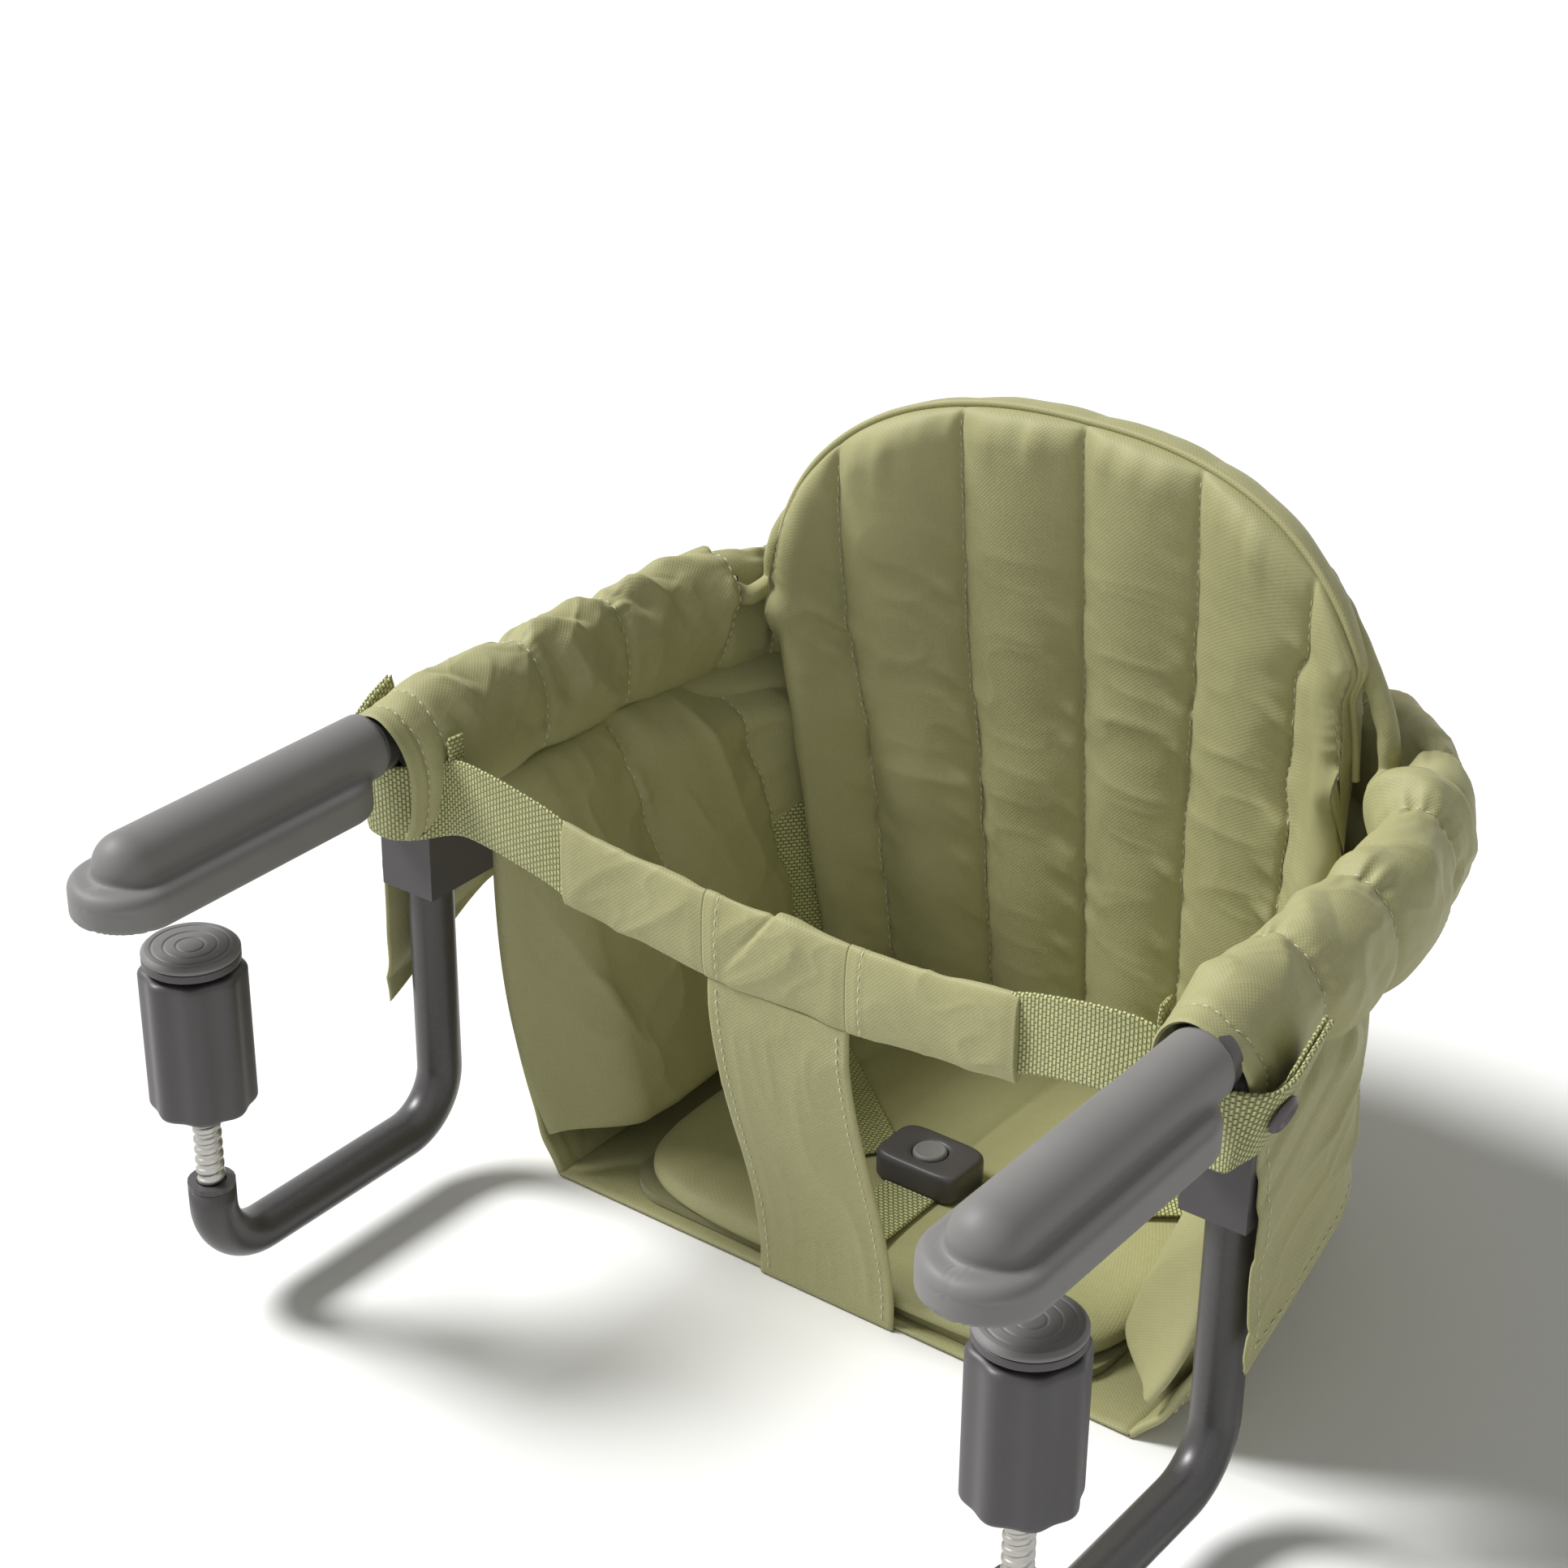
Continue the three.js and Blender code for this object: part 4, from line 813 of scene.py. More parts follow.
def knob_skin(x):
    """A hollow turned body whose outer wall has eight flutes: its radius less 1.6 (1 - cos 8a)/2."""
    corner = np.linspace(0, TURN / 4, 7)
    low = np.stack([19 + 3 * np.sin(corner), -101 - 3 * np.cos(corner)], axis=1)
    high = np.stack([19 + 3 * np.cos(corner), -42 + 3 * np.sin(corner)], axis=1)
    wall = np.stack([np.full(14, 22.0), np.linspace(-98, -45, 14)], axis=1)
    inside = np.array([[3.9, -39.3], [3.8, -40], [3.8, -43], [4.2, -43.2], [8.8, -43.2], [9, -43.6],
                       [9, -87.6], [8.8, -88], [6.5, -88], [6.3, -88.4], [6.3, -103.2], [6.8, -104]])
    ring = np.array([[15, -39.0], [14.2, -39.8], [8, -39.8], [7.2, -39.0]])
    profile = np.concatenate([low, wall, high, ring, inside, [[14, -104]]])
    angle = np.arange(128) / 128 * TURN
    flute = 0.8 * (1 - np.cos(8 * angle)) * smoothstep(12, 20, profile[:, 0])[:, None]
    radius = profile[:, :1] - flute
    grid = points_of(x + radius * np.cos(angle), CLAMP_Y + radius * np.sin(angle), profile[:, 1:])
    return outward(grid_skin(grid, around=True, looped=True))


def pad_cup_skin(x):
    profile = [[0, 0], [5, 0], [5, 3], [3.5, 3], [3.5, 7.6], [12, 7.6], [20, 9.6], [20, 13], [0, 13]]
    return turned(profile, [x, CLAMP_Y, -46.3], [0, 0, 1], soft=0.5)


def rubber_pad_skin(x):
    """A disc with three shallow rings round its middle."""
    rings = [point for r in (15, 10, 5) for point in ([r + 1.4, 3], [r + 1, 2.6], [r + 0.4, 2.6], [r, 3])]
    profile = [[0, 0], [20, 0], [20, 1.5], [18.4, 3], *rings, [0, 3]]
    return turned(profile, [x, CLAMP_Y, -33], [0, 0, 1], soft=0.4)


def collar_skin(x):
    profile = [[10.3, 0], [12, 0], [13, 1], [13, 7.05], [12, 8.05], [10.3, 8.05], [10.3, 0]]
    return turned(profile, [x, 3.95, AXIS], [0, 1, 0], soft=0.5)


# Padded rim
COVER_SEAMS = {"left": (92, 150, 216), "right": (70, 128, 190)}

# Long folds in the padding: from a distance (mm) and an angle round the section (90 is its top, 180 its inner
# side) to another, with a height share and a half width in mm
COVER_FOLDS = {
    "left": (
        (32, 90, 50, 142, 0.8, 5), (26, 118, 40, 172, -0.6, 5), (58, 100, 80, 150, 0.4, 8),
        (62, 150, 84, 200, -0.6, 8), (97, 76, 126, 138, 1.1, 5), (100, 112, 108, 190, -1.2, 6),
        (112, 150, 140, 214, 0.7, 6), (126, 66, 144, 112, 0.7, 5), (128, 128, 146, 176, -0.7, 6),
        (153, 84, 172, 150, -1.2, 5),
        (160, 80, 184, 146, 1.0, 5), (172, 104, 188, 164, -0.8, 5), (180, 70, 206, 130, 1.0, 5),
        (190, 128, 208, 186, -0.6, 7), (200, 90, 212, 160, 0.6, 4), (222, 78, 232, 168, 0.9, 4.5),
        (236, 80, 246, 160, 0.8, 5), (228, 110, 238, 180, -0.7, 5)),
    "right": (
        (30, 100, 44, 150, 0.4, 6), (50, 50, 66, 104, 0.6, 6), (76, 64, 100, 118, 0.5, 7),
        (84, 110, 104, 160, -0.5, 8), (74, 20, 88, -14, 0.6, 6), (100, 30, 112, -10, -0.5, 7),
        (134, 60, 146, 150, 0.6, 7), (150, 20, 168, 70, 0.5, 8),
        (196, 60, 208, 150, 0.7, 6), (212, 70, 224, 150, -0.6, 6), (232, 60, 240, 150, 0.7, 5),
        (206, -10, 222, 50, 0.6, 8)),
}


def mouth_y(z, across):
    """The cuff's front edge: 4.5 at its top and further back the lower it is, more so on its outer side."""
    return 4.5 + np.maximum(0, 34 - z) * mix(0.14, 0.42, smoothstep(-6, 10, across))


def armrest_skins(side, sizes):
    """Rings of the padded oval along the rim from 40 degrees to the front. In front of the housing each ring
    turns back inside itself at the hem, so that the cuff is a hood open below and in front."""
    s = SIDES[side]
    seed = 3 if s > 0 else 11
    lines = (10.0,) if s > 0 else (8.0, 19.0)
    path = rim_path(0, 40, 1.25)
    sides = rim_sides(path)
    outer_angle = np.radians(np.linspace(-24.6, 240.3, 150))
    under_angle = np.radians(np.linspace(240.3, 335.4, 44)[1:-1])
    ring_angle = np.concatenate([outer_angle, under_angle])
    solid = carried(path, sides, oval(path[:, 1:2], ring_angle[None]))
    tail = np.array([0.99, 0.93, 0.75, 0.4, 0.0])[:, None, None]
    onward = np.array([0.8, 2, 3.2, 3.8, 4])[:, None, None] * unit(path[-1] - path[-2])
    centre = solid[-1].mean(axis=0)
    end = centre + (solid[-1] - centre) * tail + onward
    share = np.linspace(1, 0, 52)[:, None] ** 0.9

    def hood(angle, shrink):
        u, w = np.moveaxis(oval(RIM_FRONT, angle, shrink), -1, 0)
        z = RIM_HEIGHT + w
        y = mix(mouth_y(z, u), RIM_FRONT, share)
        near = smoothstep(34, 4, y)
        z = z - 5.5 * near * np.clip((z - 9) / 30, 0, 1)
        z = z - 9 * smoothstep(40, 20, y) * smoothstep(4, -17, z) * smoothstep(-2, -14, u)
        u = np.where(u < 0, u * (1 - 0.18 * near), u * (1 - 0.03 * near))
        return points_of(ARM + u + 0 * y, y, z + 0 * y)

    def under(rings):
        return rings[:, np.linspace(0, rings.shape[1] - 1, len(under_angle)).round().astype(int)]

    hem = hood(outer_angle, 0.0)
    cuff = np.concatenate([hem, under(hood(outer_angle[::-1][::3], 2.4))], axis=1)
    lip = np.concatenate([hood(outer_angle, 1.2)[-1:], under(hood(outer_angle[::-1][::3], 1.2)[-1:])], axis=1)
    grid = np.concatenate([end[::-1], solid[::-1], cuff[1:], lip - np.array([0, 1.0, 0])])
    rows = len(end) + len(solid)
    run = np.concatenate([np.full(len(end), path[-1, 1] + 4), path[::-1, 1], np.full(len(cuff), 0.0)])
    run[rows:] = np.mean(cuff[1:, 40:110, 1], axis=1).tolist() + [4.5]
    normal = blurred(normals_of(grid, True), 1) * ring_facing(grid, rows // 2)
    top = smoothstep(-0.75, 0.1, np.sin(ring_angle))[None]
    degrees = np.degrees(ring_angle)
    relief = padding_relief(grid, run, COVER_SEAMS[side], sizes, seed, top, degrees)
    relief = relief + sizes.fold / MM * ridges(run[:, None], degrees[None], COVER_FOLDS[side], seed + 3)
    relief = np.maximum(relief, -4.2)
    clamp = np.linalg.norm(grid - np.array([162, 210, 29]), axis=-1)
    relief = relief + 15 * np.exp(-(clamp / 21) ** 2)
    keep = np.ones(grid.shape[:2])
    keep[rows - 1:, len(outer_angle):] = 0
    keep[:len(end)] = 0
    to_hem = grid[..., 1] - cuff[-1][None, :, 1]
    calm = smoothstep(17, 34, to_hem)
    band = -0.6 * sum(np.exp(-((to_hem - place) / 0.9) ** 2) for place in lines)
    edge = 0.7 * smoothstep(lines[0] - 0.5, lines[0] - 1.5, to_hem) - 0.8 * (1 - calm)
    edge = edge + 0.5 * np.exp(-((to_hem - 13) / 4) ** 2)
    folded = 0.5 * noise(grid, (9, 9, 7), seed + 6) * np.exp(-((to_hem - 13) / 6) ** 2)
    relief = relief * calm + np.where(np.arange(len(grid))[:, None] >= rows, band + edge + folded, 0)
    grid = grid + normal * (relief * keep)[..., None]
    grid = grid * np.array([s, 1, 1])
    skins = [outward(grid_skin(grid, around=True))]
    sign = ring_facing(grid, rows // 2)
    columns = np.linspace(6, len(outer_angle) - 8, 180)
    for seam in COVER_SEAMS[side]:
        row = np.interp(seam, path[:, 1], np.arange(len(path))[::-1] + len(end))
        skins.append(seam_on(grid, np.full(180, row), columns, sizes, sign, True))
    hem_columns = np.linspace(4, len(outer_angle) - 5, 150)
    front = sampled(to_hem[..., None], np.arange(rows, len(grid))[:, None], hem_columns[None])[..., 0]
    for distance in lines:
        row = rows + np.argmin(np.abs(front - distance), axis=0)
        skins.append(seam_on(grid, blurred_line(row), hem_columns, sizes, sign, True))
    return skins


def blurred_line(values):
    """A row of numbers with its small jumps evened out."""
    values = np.asarray(values, float)
    for _ in range(6):
        inner = np.pad(values, 1, "edge")
        values = (inner[:-2] + inner[2:] + 2 * values) / 4
    return values


def rear_cover_skins(sizes):
    """Rings of the padded oval round the back, between the two armrests, seven seams across it."""
    path = rim_path(39.7, 140.3, 1.8)
    angle = np.arange(104) / 104 * TURN
    grid = carried(path, rim_sides(path), oval(path[:, 1:2], angle[None]))
    run = np.concatenate([[0], np.cumsum(np.linalg.norm(np.diff(path, axis=0), axis=1))])
    seams = np.linspace(0, run[-1], 15)[1::2]
    normal = blurred(normals_of(grid, True), 1) * ring_facing(grid, 40)
    top = smoothstep(-0.9, -0.3, np.sin(angle))[None]
    relief = padding_relief(grid, run, seams, sizes, 23, top, np.degrees(angle))
    strokes = []
    for number, seam in enumerate(seams):
        turn_back = 1 if number % 2 else -1
        strokes += [(seam + 6, 60, seam + 6 + 22 * turn_back, 150, 0.8, 6),
                    (seam - 20, 20, seam - 4, 100, 0.6, 7), (seam + 14, -60, seam + 26, 40, 0.7, 7)]
    relief = relief + sizes.fold / MM * ridges(run[:, None], np.degrees(angle)[None], strokes, 26)
    relief = np.maximum(relief, -3.8)
    fade = smoothstep(0, 8, run)[:, None] * smoothstep(0, 8, run[-1] - run)[:, None]
    grid = grid + normal * (relief * fade)[..., None]
    skins = [outward(grid_skin(capped(grid, 0.4, 0.75, 0.93), around=True))]
    columns = np.linspace(0, 103, 160)
    for seam in seams:
        row = np.interp(seam, run, np.arange(len(path)))
        skins.append(seam_on(grid, np.full(160, row), columns, sizes, ring_facing(grid, 40), True))
    return skins


# Backrest
def seam_line(x, z):
    return BACK_Y - 0.1 * z - 26 * (x / BACK_HALF) ** 2


def cushion_depth(x):
    return mix(18.0, 7.0, np.minimum(1, np.abs(x) / BACK_HALF) ** 2)


def cushion_top(x):
    share = np.minimum(1, np.abs(x) / BACK_HALF)
    return 6 + (TOP - 6) * (1 - share ** 2.6) ** (1 / 2.6)


def cushion_grid():
    """Columns by their place across the upper half, rows from the seat pad up to the outline
    6 + 132 (1 - share^2.6)^(1/2.6). Below the fold the half width falls from 143 to 127 mm."""
    across = np.sin(np.linspace(-1, 1, 281) * TURN / 4 * 0.94) / math.sin(TURN / 4 * 0.94)
    base = mix(across, np.linspace(-1, 1, 281), 0.75) * BACK_HALF
    v = np.linspace(0, 1, 210)[:, None] ** 0.93
    z = mix(ON_PAD, cushion_top(base)[None], v)
    low = mix(127.0, 143.0, (z - ON_PAD) / (FOLD - ON_PAD)) / BACK_HALF
    width = mix(low, 1.0, smoothstep(-40, 40, z)) - corner_share(base, z)
    return base * width, z, np.broadcast_to(base, z.shape), np.broadcast_to(v, z.shape)


def cushion_skins(sizes):
    """A pillow: both faces meet at a rim line, and rise from it by a quarter circle 15 mm wide. The front
    swells by |sin(pi x/channel)|^0.62 between its seams, with wedge gathers beside each and soft lumps lower
    down, and its lower sides curl forward by 11 mm."""
    x, z, base, v = cushion_grid()
    face = np.stack([x, z], axis=-1)
    away = edge_gap(x, z, np.concatenate([face[0], face[:, -1], face[-1, ::-1], face[::-1, 0]]))
    away[[0, -1]] = 0
    away[:, [0, -1]] = 0
    inner = np.clip(away / 15, 0, 1)
    round_off = np.sqrt(1 - (1 - inner) ** 2)
    flat = points_of(x, np.zeros_like(x), z)
    seam_at = np.round(base / CHANNEL) * CHANNEL
    near = np.abs(base - seam_at)
    crown = sizes.crown / MM * np.abs(np.sin(math.pi * base / CHANNEL)) ** 0.62
    slack = 1 + 0.16 * noise(flat, (70, 1, 70), 31)
    slant = flat @ np.array([[1, 0, 0.6], [0, 1, 0], [-0.15, 0, 1]])
    calm = mix(1.0, 0.3, smoothstep(10, 115, z))
    pucker = sizes.pucker / MM
    ahead = np.where(base < seam_at, 1.7, 0.6)
    mirrored = np.where(base[..., None] > seam_at[..., None], slant, slant * [-1, 1, 1])
    gathers = 1.5 * pucker * ahead * np.exp(-(near / 11) ** 2) * noise(mirrored, (26, 1, 8.5), 32)
    between = smoothstep(2, 16, near)
    rumple = (1.2 * (creases(flat, (64, 1, 32), 33) - 0.45) + 1.3 * noise(flat, (40, 1, 26), 34)) * between
    hung = 1.1 * pucker * np.exp(-((away - 9) / 14) ** 2) * noise(flat * [1, 1, 0.3], (8, 1, 12), 35)
    curl = -11 * smoothstep(34, -50, z) * smoothstep(0.72, 1.0, np.abs(base) / BACK_HALF)
    line = seam_line(x, z) + curl
    middle = line + 4
    front = line - crown * slack - (gathers + rumple) * calm - hung + 0.6 * np.exp(-(near / 1.5) ** 2)
    front = mix(middle, front, round_off)
    full_back = line + cushion_depth(x) - 1.6 * (1 - np.abs(np.sin(math.pi * base / CHANNEL)) ** 0.5)
    back = mix(middle, full_back, round_off)
    near_face = points_of(x, front, z)
    skins = [outward(joined([grid_skin(near_face), flipped(grid_skin(points_of(x, back, z)))]))]
    sign = facing(near_face, 90, 130, (0, -1, 0))
    for number in (-2, -1, 0, 1, 2):
        column = np.interp(number * CHANNEL, base[0], np.arange(base.shape[1]))
        last = 206 if abs(number) < 2 else 202
        skins.append(seam_on(near_face, np.linspace(3, last, 440), np.full(440, column), sizes, sign))
    return skins


def hoop_line(count=220):
    """The wire's middle line: from each clamp up round the cushion's back, 3.9 mm clear of it."""
    shares = np.array([[1.035, 0.2], [1.02, 0.34], [0.93, 0.52], [0.76, 0.71], [0.5, 0.85], [0.25, 0.9],
                       [0, 0.91]])
    right = np.stack([shares[:, 0] * BACK_HALF, np.zeros(7), shares[:, 1] * TOP], axis=1)
    line = along_line(np.concatenate([right, right[-2::-1] * [-1, 1, 1]]), count)
    line[:, 1] = seam_line(line[:, 0], line[:, 2]) + cushion_depth(line[:, 0]) + 3.9
    pins = np.array([[HINGE[0] - back, HINGE[1], HINGE[2]] for back in (8.8, 25.3)])
    return np.concatenate([pins, line, (pins * [-1, 1, 1])[::-1]])


def hoop_skin():
    line = hoop_path()
    side = np.cross([0, 1.0, -1.0], unit(np.gradient(line, axis=0)))
    grid = carried(line, side, np.broadcast_to(circle(3, 20), (len(line), 20, 2)))
    return outward(grid_skin(capped(grid), around=True))


def back_cover_skins(sizes):
    """A cloth behind the cushion and its wire. It follows the cushion's outline 3 mm proud and comes forward
    to the cushion's edge in a quarter circle 12 mm wide with a bead 3.4 mm thick. A cloth tube takes the wire
    down to each clamp."""
    across = np.sin(np.linspace(-1, 1, 220) * TURN / 4 * 0.96) / math.sin(TURN / 4 * 0.96)
    base = mix(across, np.linspace(-1, 1, 220), 0.3) * BACK_HALF * 0.982
    v = 1 - (1 - np.linspace(0, 1, 110)[:, None]) ** 1.35
    scallop = 1.3 * np.abs(np.sin(math.pi * base / CHANNEL)) ** 0.6 + 0.6 * np.sin(base / 9) ** 2
    z = mix(24.0, (cushion_top(base) + 0.6 + 0.6 * scallop)[None], v)
    x = base * (1.012 - corner_share(base, z))
    face = np.stack([x, z], axis=-1)
    edge = np.concatenate([face[:, 0], face[-1], face[::-1, -1]])
    inner = np.clip(edge_gap(x, z, edge) / 12, 0, 1)
    round_off = np.sqrt(1 - (1 - inner) ** 2)
    flat = points_of(x, np.zeros_like(x), z)
    sag = 1.8 * (creases(flat, (50, 1, 34), 52) - 0.4) + 0.9 * noise(flat, (24, 1, 40), 51)
    full = seam_line(x, z) + cushion_depth(x) + 9.2 + sag * smoothstep(0, 0.15, v)
    grid = points_of(x, mix(seam_line(x, z) + 4.6, full, round_off), z)
    line = hoop_path()
    count = int(np.argmax(line[:, 2] > 100))
    outline = np.linspace(-0.999, 0.999, 900) * BACK_HALF
    height = cushion_top(outline)
    bead = points_of(outline * (1.006 - corner_share(outline, height)), 0.0, height + 0.9)
    bead[:, 1] = seam_line(bead[:, 0], bead[:, 2]) + 4.7
    bead = along_line(bead, 420, smooth=False)
    skins = [sheet_skin(grid, 1.6), tube_skin(bead, np.full((420, 1), 1.7), 12)]
    for part in (line[:count], line[::-1][:count]):
        angle = np.arange(24) / 24 * TURN
        place = points_of(np.arange(len(part))[:, None] * 1.4, np.cos(angle) * 6, np.sin(angle) * 6)
        skins.append(tube_skin(part, 4.7 + 0.6 * noise(place, (9, 7, 7), 53)))
    sign = facing(grid, 60, 110, (0, 1, 0))
    lifted = grid + normals_of(grid) * sign * 0.8
    rows = blurred_line([np.max(np.nonzero(inner[:, k] * 12 >= 7)[0]) for k in range(30, 190)])
    skins.append(seam_on(lifted, rows, np.arange(30, 190).astype(float), sizes, sign))
    return skins


# Seat bag, side panels and wings
def bag_line(y):
    """Half the floor's width at a distance along y: a squared oval 150 mm by 228 mm."""
    share = np.clip((y - BAG_FRONT) / (BAG_BACK - BAG_FRONT), 0, 1)
    return BAG_HALF * (1 - share ** FLOOR_POWER) ** (1 / FLOOR_POWER)


def bag_skins(sizes):
    """Walls from inside the rim's padding, in at once to the waist and down to the floor's squared oval by
    v^3.6, with hanging folds, bound front edges and a seam at each rear corner, and a floor across them."""
    count, levels = 340, 124
    angle = np.linspace(5, 175, count)
    foot_x, foot_y = squared_oval(np.radians(np.linspace(0, 180, count)), BAG_HALF, BAG_BACK - BAG_FRONT,
                                  FLOOR_POWER)
    v = np.linspace(0, 1, levels)[:, None]
    z = mix(-6.0, BAG_FLOOR, v)
    head = mix(rim_at(angle)[None], waist_at(angle)[None], smoothstep(4, 23, -z)[..., None])
    f = np.clip((-z - 21.3) / 185.9, 0, 1) ** WALL_POWER
    grid = points_of(mix(head[..., 0], foot_x, f), mix(head[..., 1], BAG_FRONT + foot_y, f), z)
    normal = blurred(normals_of(grid), 2) * facing(grid, 50, 40, (1, 0, 0))
    run = np.concatenate([[0], np.cumsum(np.linalg.norm(np.diff(grid[40], axis=0), axis=1))])
    from_edge = np.minimum(run, run[-1] - run)
    corners = (run[-1] * 0.335, run[-1] * 0.665)
    near = np.min([np.abs(run - at) for at in corners], axis=0)
    place = points_of(run + z * 0.3, 0.0, z)
    depth = sizes.bag_fold / MM
    folds = depth * (creases(place, (46, 1, 170), 61) - 0.5) + 0.4 * depth * noise(place, (20, 1, 70), 62)
    slanted = points_of(from_edge * 0.62 - z * 0.78, 0.0, from_edge * 0.78 + z * 0.62)
    folds = folds + 0.8 * depth * (creases(slanted, (24, 1, 110), 64) - 0.4) * smoothstep(170, 20, from_edge)
    gathers = sizes.pucker / MM * np.exp(-(near / 12) ** 2) * noise(place, (30, 1, 9), 65)
    fade = smoothstep(0.06, 0.22, v) * smoothstep(1, 0.93, v) * smoothstep(2, 30, from_edge)
    swell = 2.0 * np.exp(-((v - 0.93) / 0.035) ** 2)
    relief = folds * fade + gathers * fade + swell - 1.5 * np.exp(-(near / 2.4) ** 2)
    grid = grid + normal * relief[..., None]
    wall = sheet_skin(grid, 2.2 + 1.2 * smoothstep(11, 9.5, from_edge) + 0 * z)
    rows = np.concatenate([np.linspace(BAG_FRONT, 270, 60), BAG_BACK - 20 * np.linspace(1, 0, 20)[1:] ** 2])
    floor_x = bag_line(rows)[:, None] * np.linspace(-1, 1, 90)[None]
    sag = 0.5 * noise(points_of(floor_x, rows[:, None], 0 * floor_x), 40, 63)
    floor = points_of(floor_x, rows[:, None], BAG_FLOOR + sag * 0.4)
    skins = [wall, sheet_skin(floor[:-1], 2.2)]
    sign = facing(grid, 50, 40, (1, 0, 0))
    lifted = grid + normals_of(grid) * sign * 1.1
    round_foot = np.linspace(2, count - 3, 700)
    for level in (0.955, 0.975):
        skins.append(seam_on(lifted, np.full(700, level * (levels - 1)), round_foot, sizes, sign))
    upright = np.linspace(12, levels - 4, 300)
    for at, rise in ((8.5, 0.7), (run[-1] - 8.5, 0.7), (corners[0] - 3.4, 0.1), (corners[1] + 3.4, 0.1)):
        column = np.interp(at, run, np.arange(count))
        skins.append(seam_on(lifted, upright, np.full(300, column), sizes, sign, rise=rise))
    return skins


def wing_skins(side, sizes):
    """The flap beside the post: down from inside the cuff, drawn in towards the bag, with its foot rising
    towards the back and soft folds that run forward and down across it."""
    s = SIDES[side]
    u = np.linspace(0, 1, 130)[None]
    v = np.linspace(0, 1, 110)[:, None]
    y = mix(27.0, 150.0, u) + 0 * v
    drawn = smoothstep(88.5, 150, y)
    z = -mix(mix(-1.5, 21.5, np.minimum(1, 2 * drawn)), mix(122.0, 62.0, u), v)
    x = 215.2 - 27 * drawn - 4.5 * smoothstep(-16, 0, z)
    across = (y - 35) * 0.562 - (z + 30) * 0.827
    pleat = 1.7 * smoothstep(-2.5, 2.5, across) + 1.5 * smoothstep(-2.5, 2.5, across - 13) - 1.4
    place = points_of(across, 0 * y, (y - 35) * 0.827 + (z + 30) * 0.562)
    folds = 3.4 * (creases(place, (27, 1, 90), 71 + s) - 0.42) * smoothstep(4, 26, across)
    folds = folds + 0.8 * noise(place, (16, 1, 40), 73 + s)
    free = smoothstep(0, 0.12, v) * smoothstep(0, 0.12, 1 - u)
    grid = points_of(s * (x + (pleat + folds) * free), y, z)
    skins = [sheet_skin(grid, 1.9)]
    sign = facing(grid, 40, 40, (s, 0, 0))
    lifted = grid + normals_of(grid) * sign * 0.95
    skins.append(seam_on(lifted, np.linspace(1, 105, 220), np.full(220, 5.0), sizes, sign))
    skins.append(seam_on(lifted, np.full(260, 103.5), np.linspace(5, 124, 260), sizes, sign))
    return skins


def side_pad_skins(side, sizes):
    """A quilted panel between the rim and the seat. It leans in by v^1.3, turns out to the bag's front edge
    and in towards the cushion's side, with two seams that lean back and slack folds between them."""
    s = SIDES[side]
    u = np.linspace(0, 1, 190)[None]
    v = np.linspace(0, 1, 150)[:, None]
    last = 240 - 6 * smoothstep(0.4, 0.6, v)
    first, head, foot = BAG_FRONT, -14.0, -188.0
    y = mix(first, last, u)
    z = mix(head, foot, v) + 0 * u
    lean = mix(178.0, 131.0, v ** 1.3) + 6 * np.clip(1 - v / 0.12, 0, 1) ** 2
    wall = mix(191.0, BAG_HALF, np.clip((-z - 21) / 186, 0, 1) ** WALL_POWER) - 5.5
    x = mix(lean, np.minimum(wall, ARM - 12), smoothstep(98, 60, y))
    x = x - 22.5 * np.clip((y - 110) / 90, 0, 2) ** 1.9 * (1 - v) * smoothstep(-0.02, 0.12, v)
    away = np.minimum(np.minimum(y - first, last - y), np.minimum(head - z, z - foot))
    round_off = np.sqrt(1 - (1 - np.clip(away / 9, 0, 1)) ** 2)
    seams = (136.0, 199.0)
    near = np.min([np.abs(y - at + 0.2 * (z + 20)) for at in seams], axis=0)
    swell = 6.0 * (1 - np.exp(-(near / 15) ** 1.4)) - 0.9 * np.exp(-(near / 1.4) ** 2)
    flat = points_of(0.0, y * 0.93 + 0.37 * z, z * 0.93 - 0.37 * y)
    slack = 3.4 * (creases(flat, (1, 38, 64), 81 + s) - 0.42) + 1.6 * noise(flat, (1, 34, 40), 83 + s)
    gathers = 1.9 * sizes.pucker / MM * np.exp(-(near / 12) ** 2) * noise(flat, (1, 24, 8.5), 85 + s)
    hung = 1.6 * np.exp(-((head - z) / 22) ** 2) * noise(flat, (1, 9, 60), 87 + s)
    inner_face = x - 0.4 - (swell + (slack + gathers + hung) * smoothstep(62, 96, y)) * round_off
    outer_face = x - 0.4 + 3.0 * round_off
    near_face = points_of(s * inner_face, y, z)
    far_face = points_of(s * outer_face, y, z)
    skins = [outward(joined([grid_skin(near_face), flipped(grid_skin(far_face))]))]
    sign = facing(near_face, 70, 75, (-s, 0, 0))
    rows = np.linspace(4, 142, 330)
    for at in seams:
        height = np.interp(rows, np.arange(150), z[:, 0])
        end = np.interp(rows, np.arange(150), last[:, 0])
        column = (at - 0.2 * (height + 20) - first) / (end - first) * 189
        inside = column < 184
        skins.append(seam_on(near_face, rows[inside], column[inside], sizes, sign))
    return skins


# Front strap, webbing and belts
def strap_share(x):
    return np.clip((np.abs(x) - STRAP_HALF) / (STRAP_END - STRAP_HALF), 0, 1)


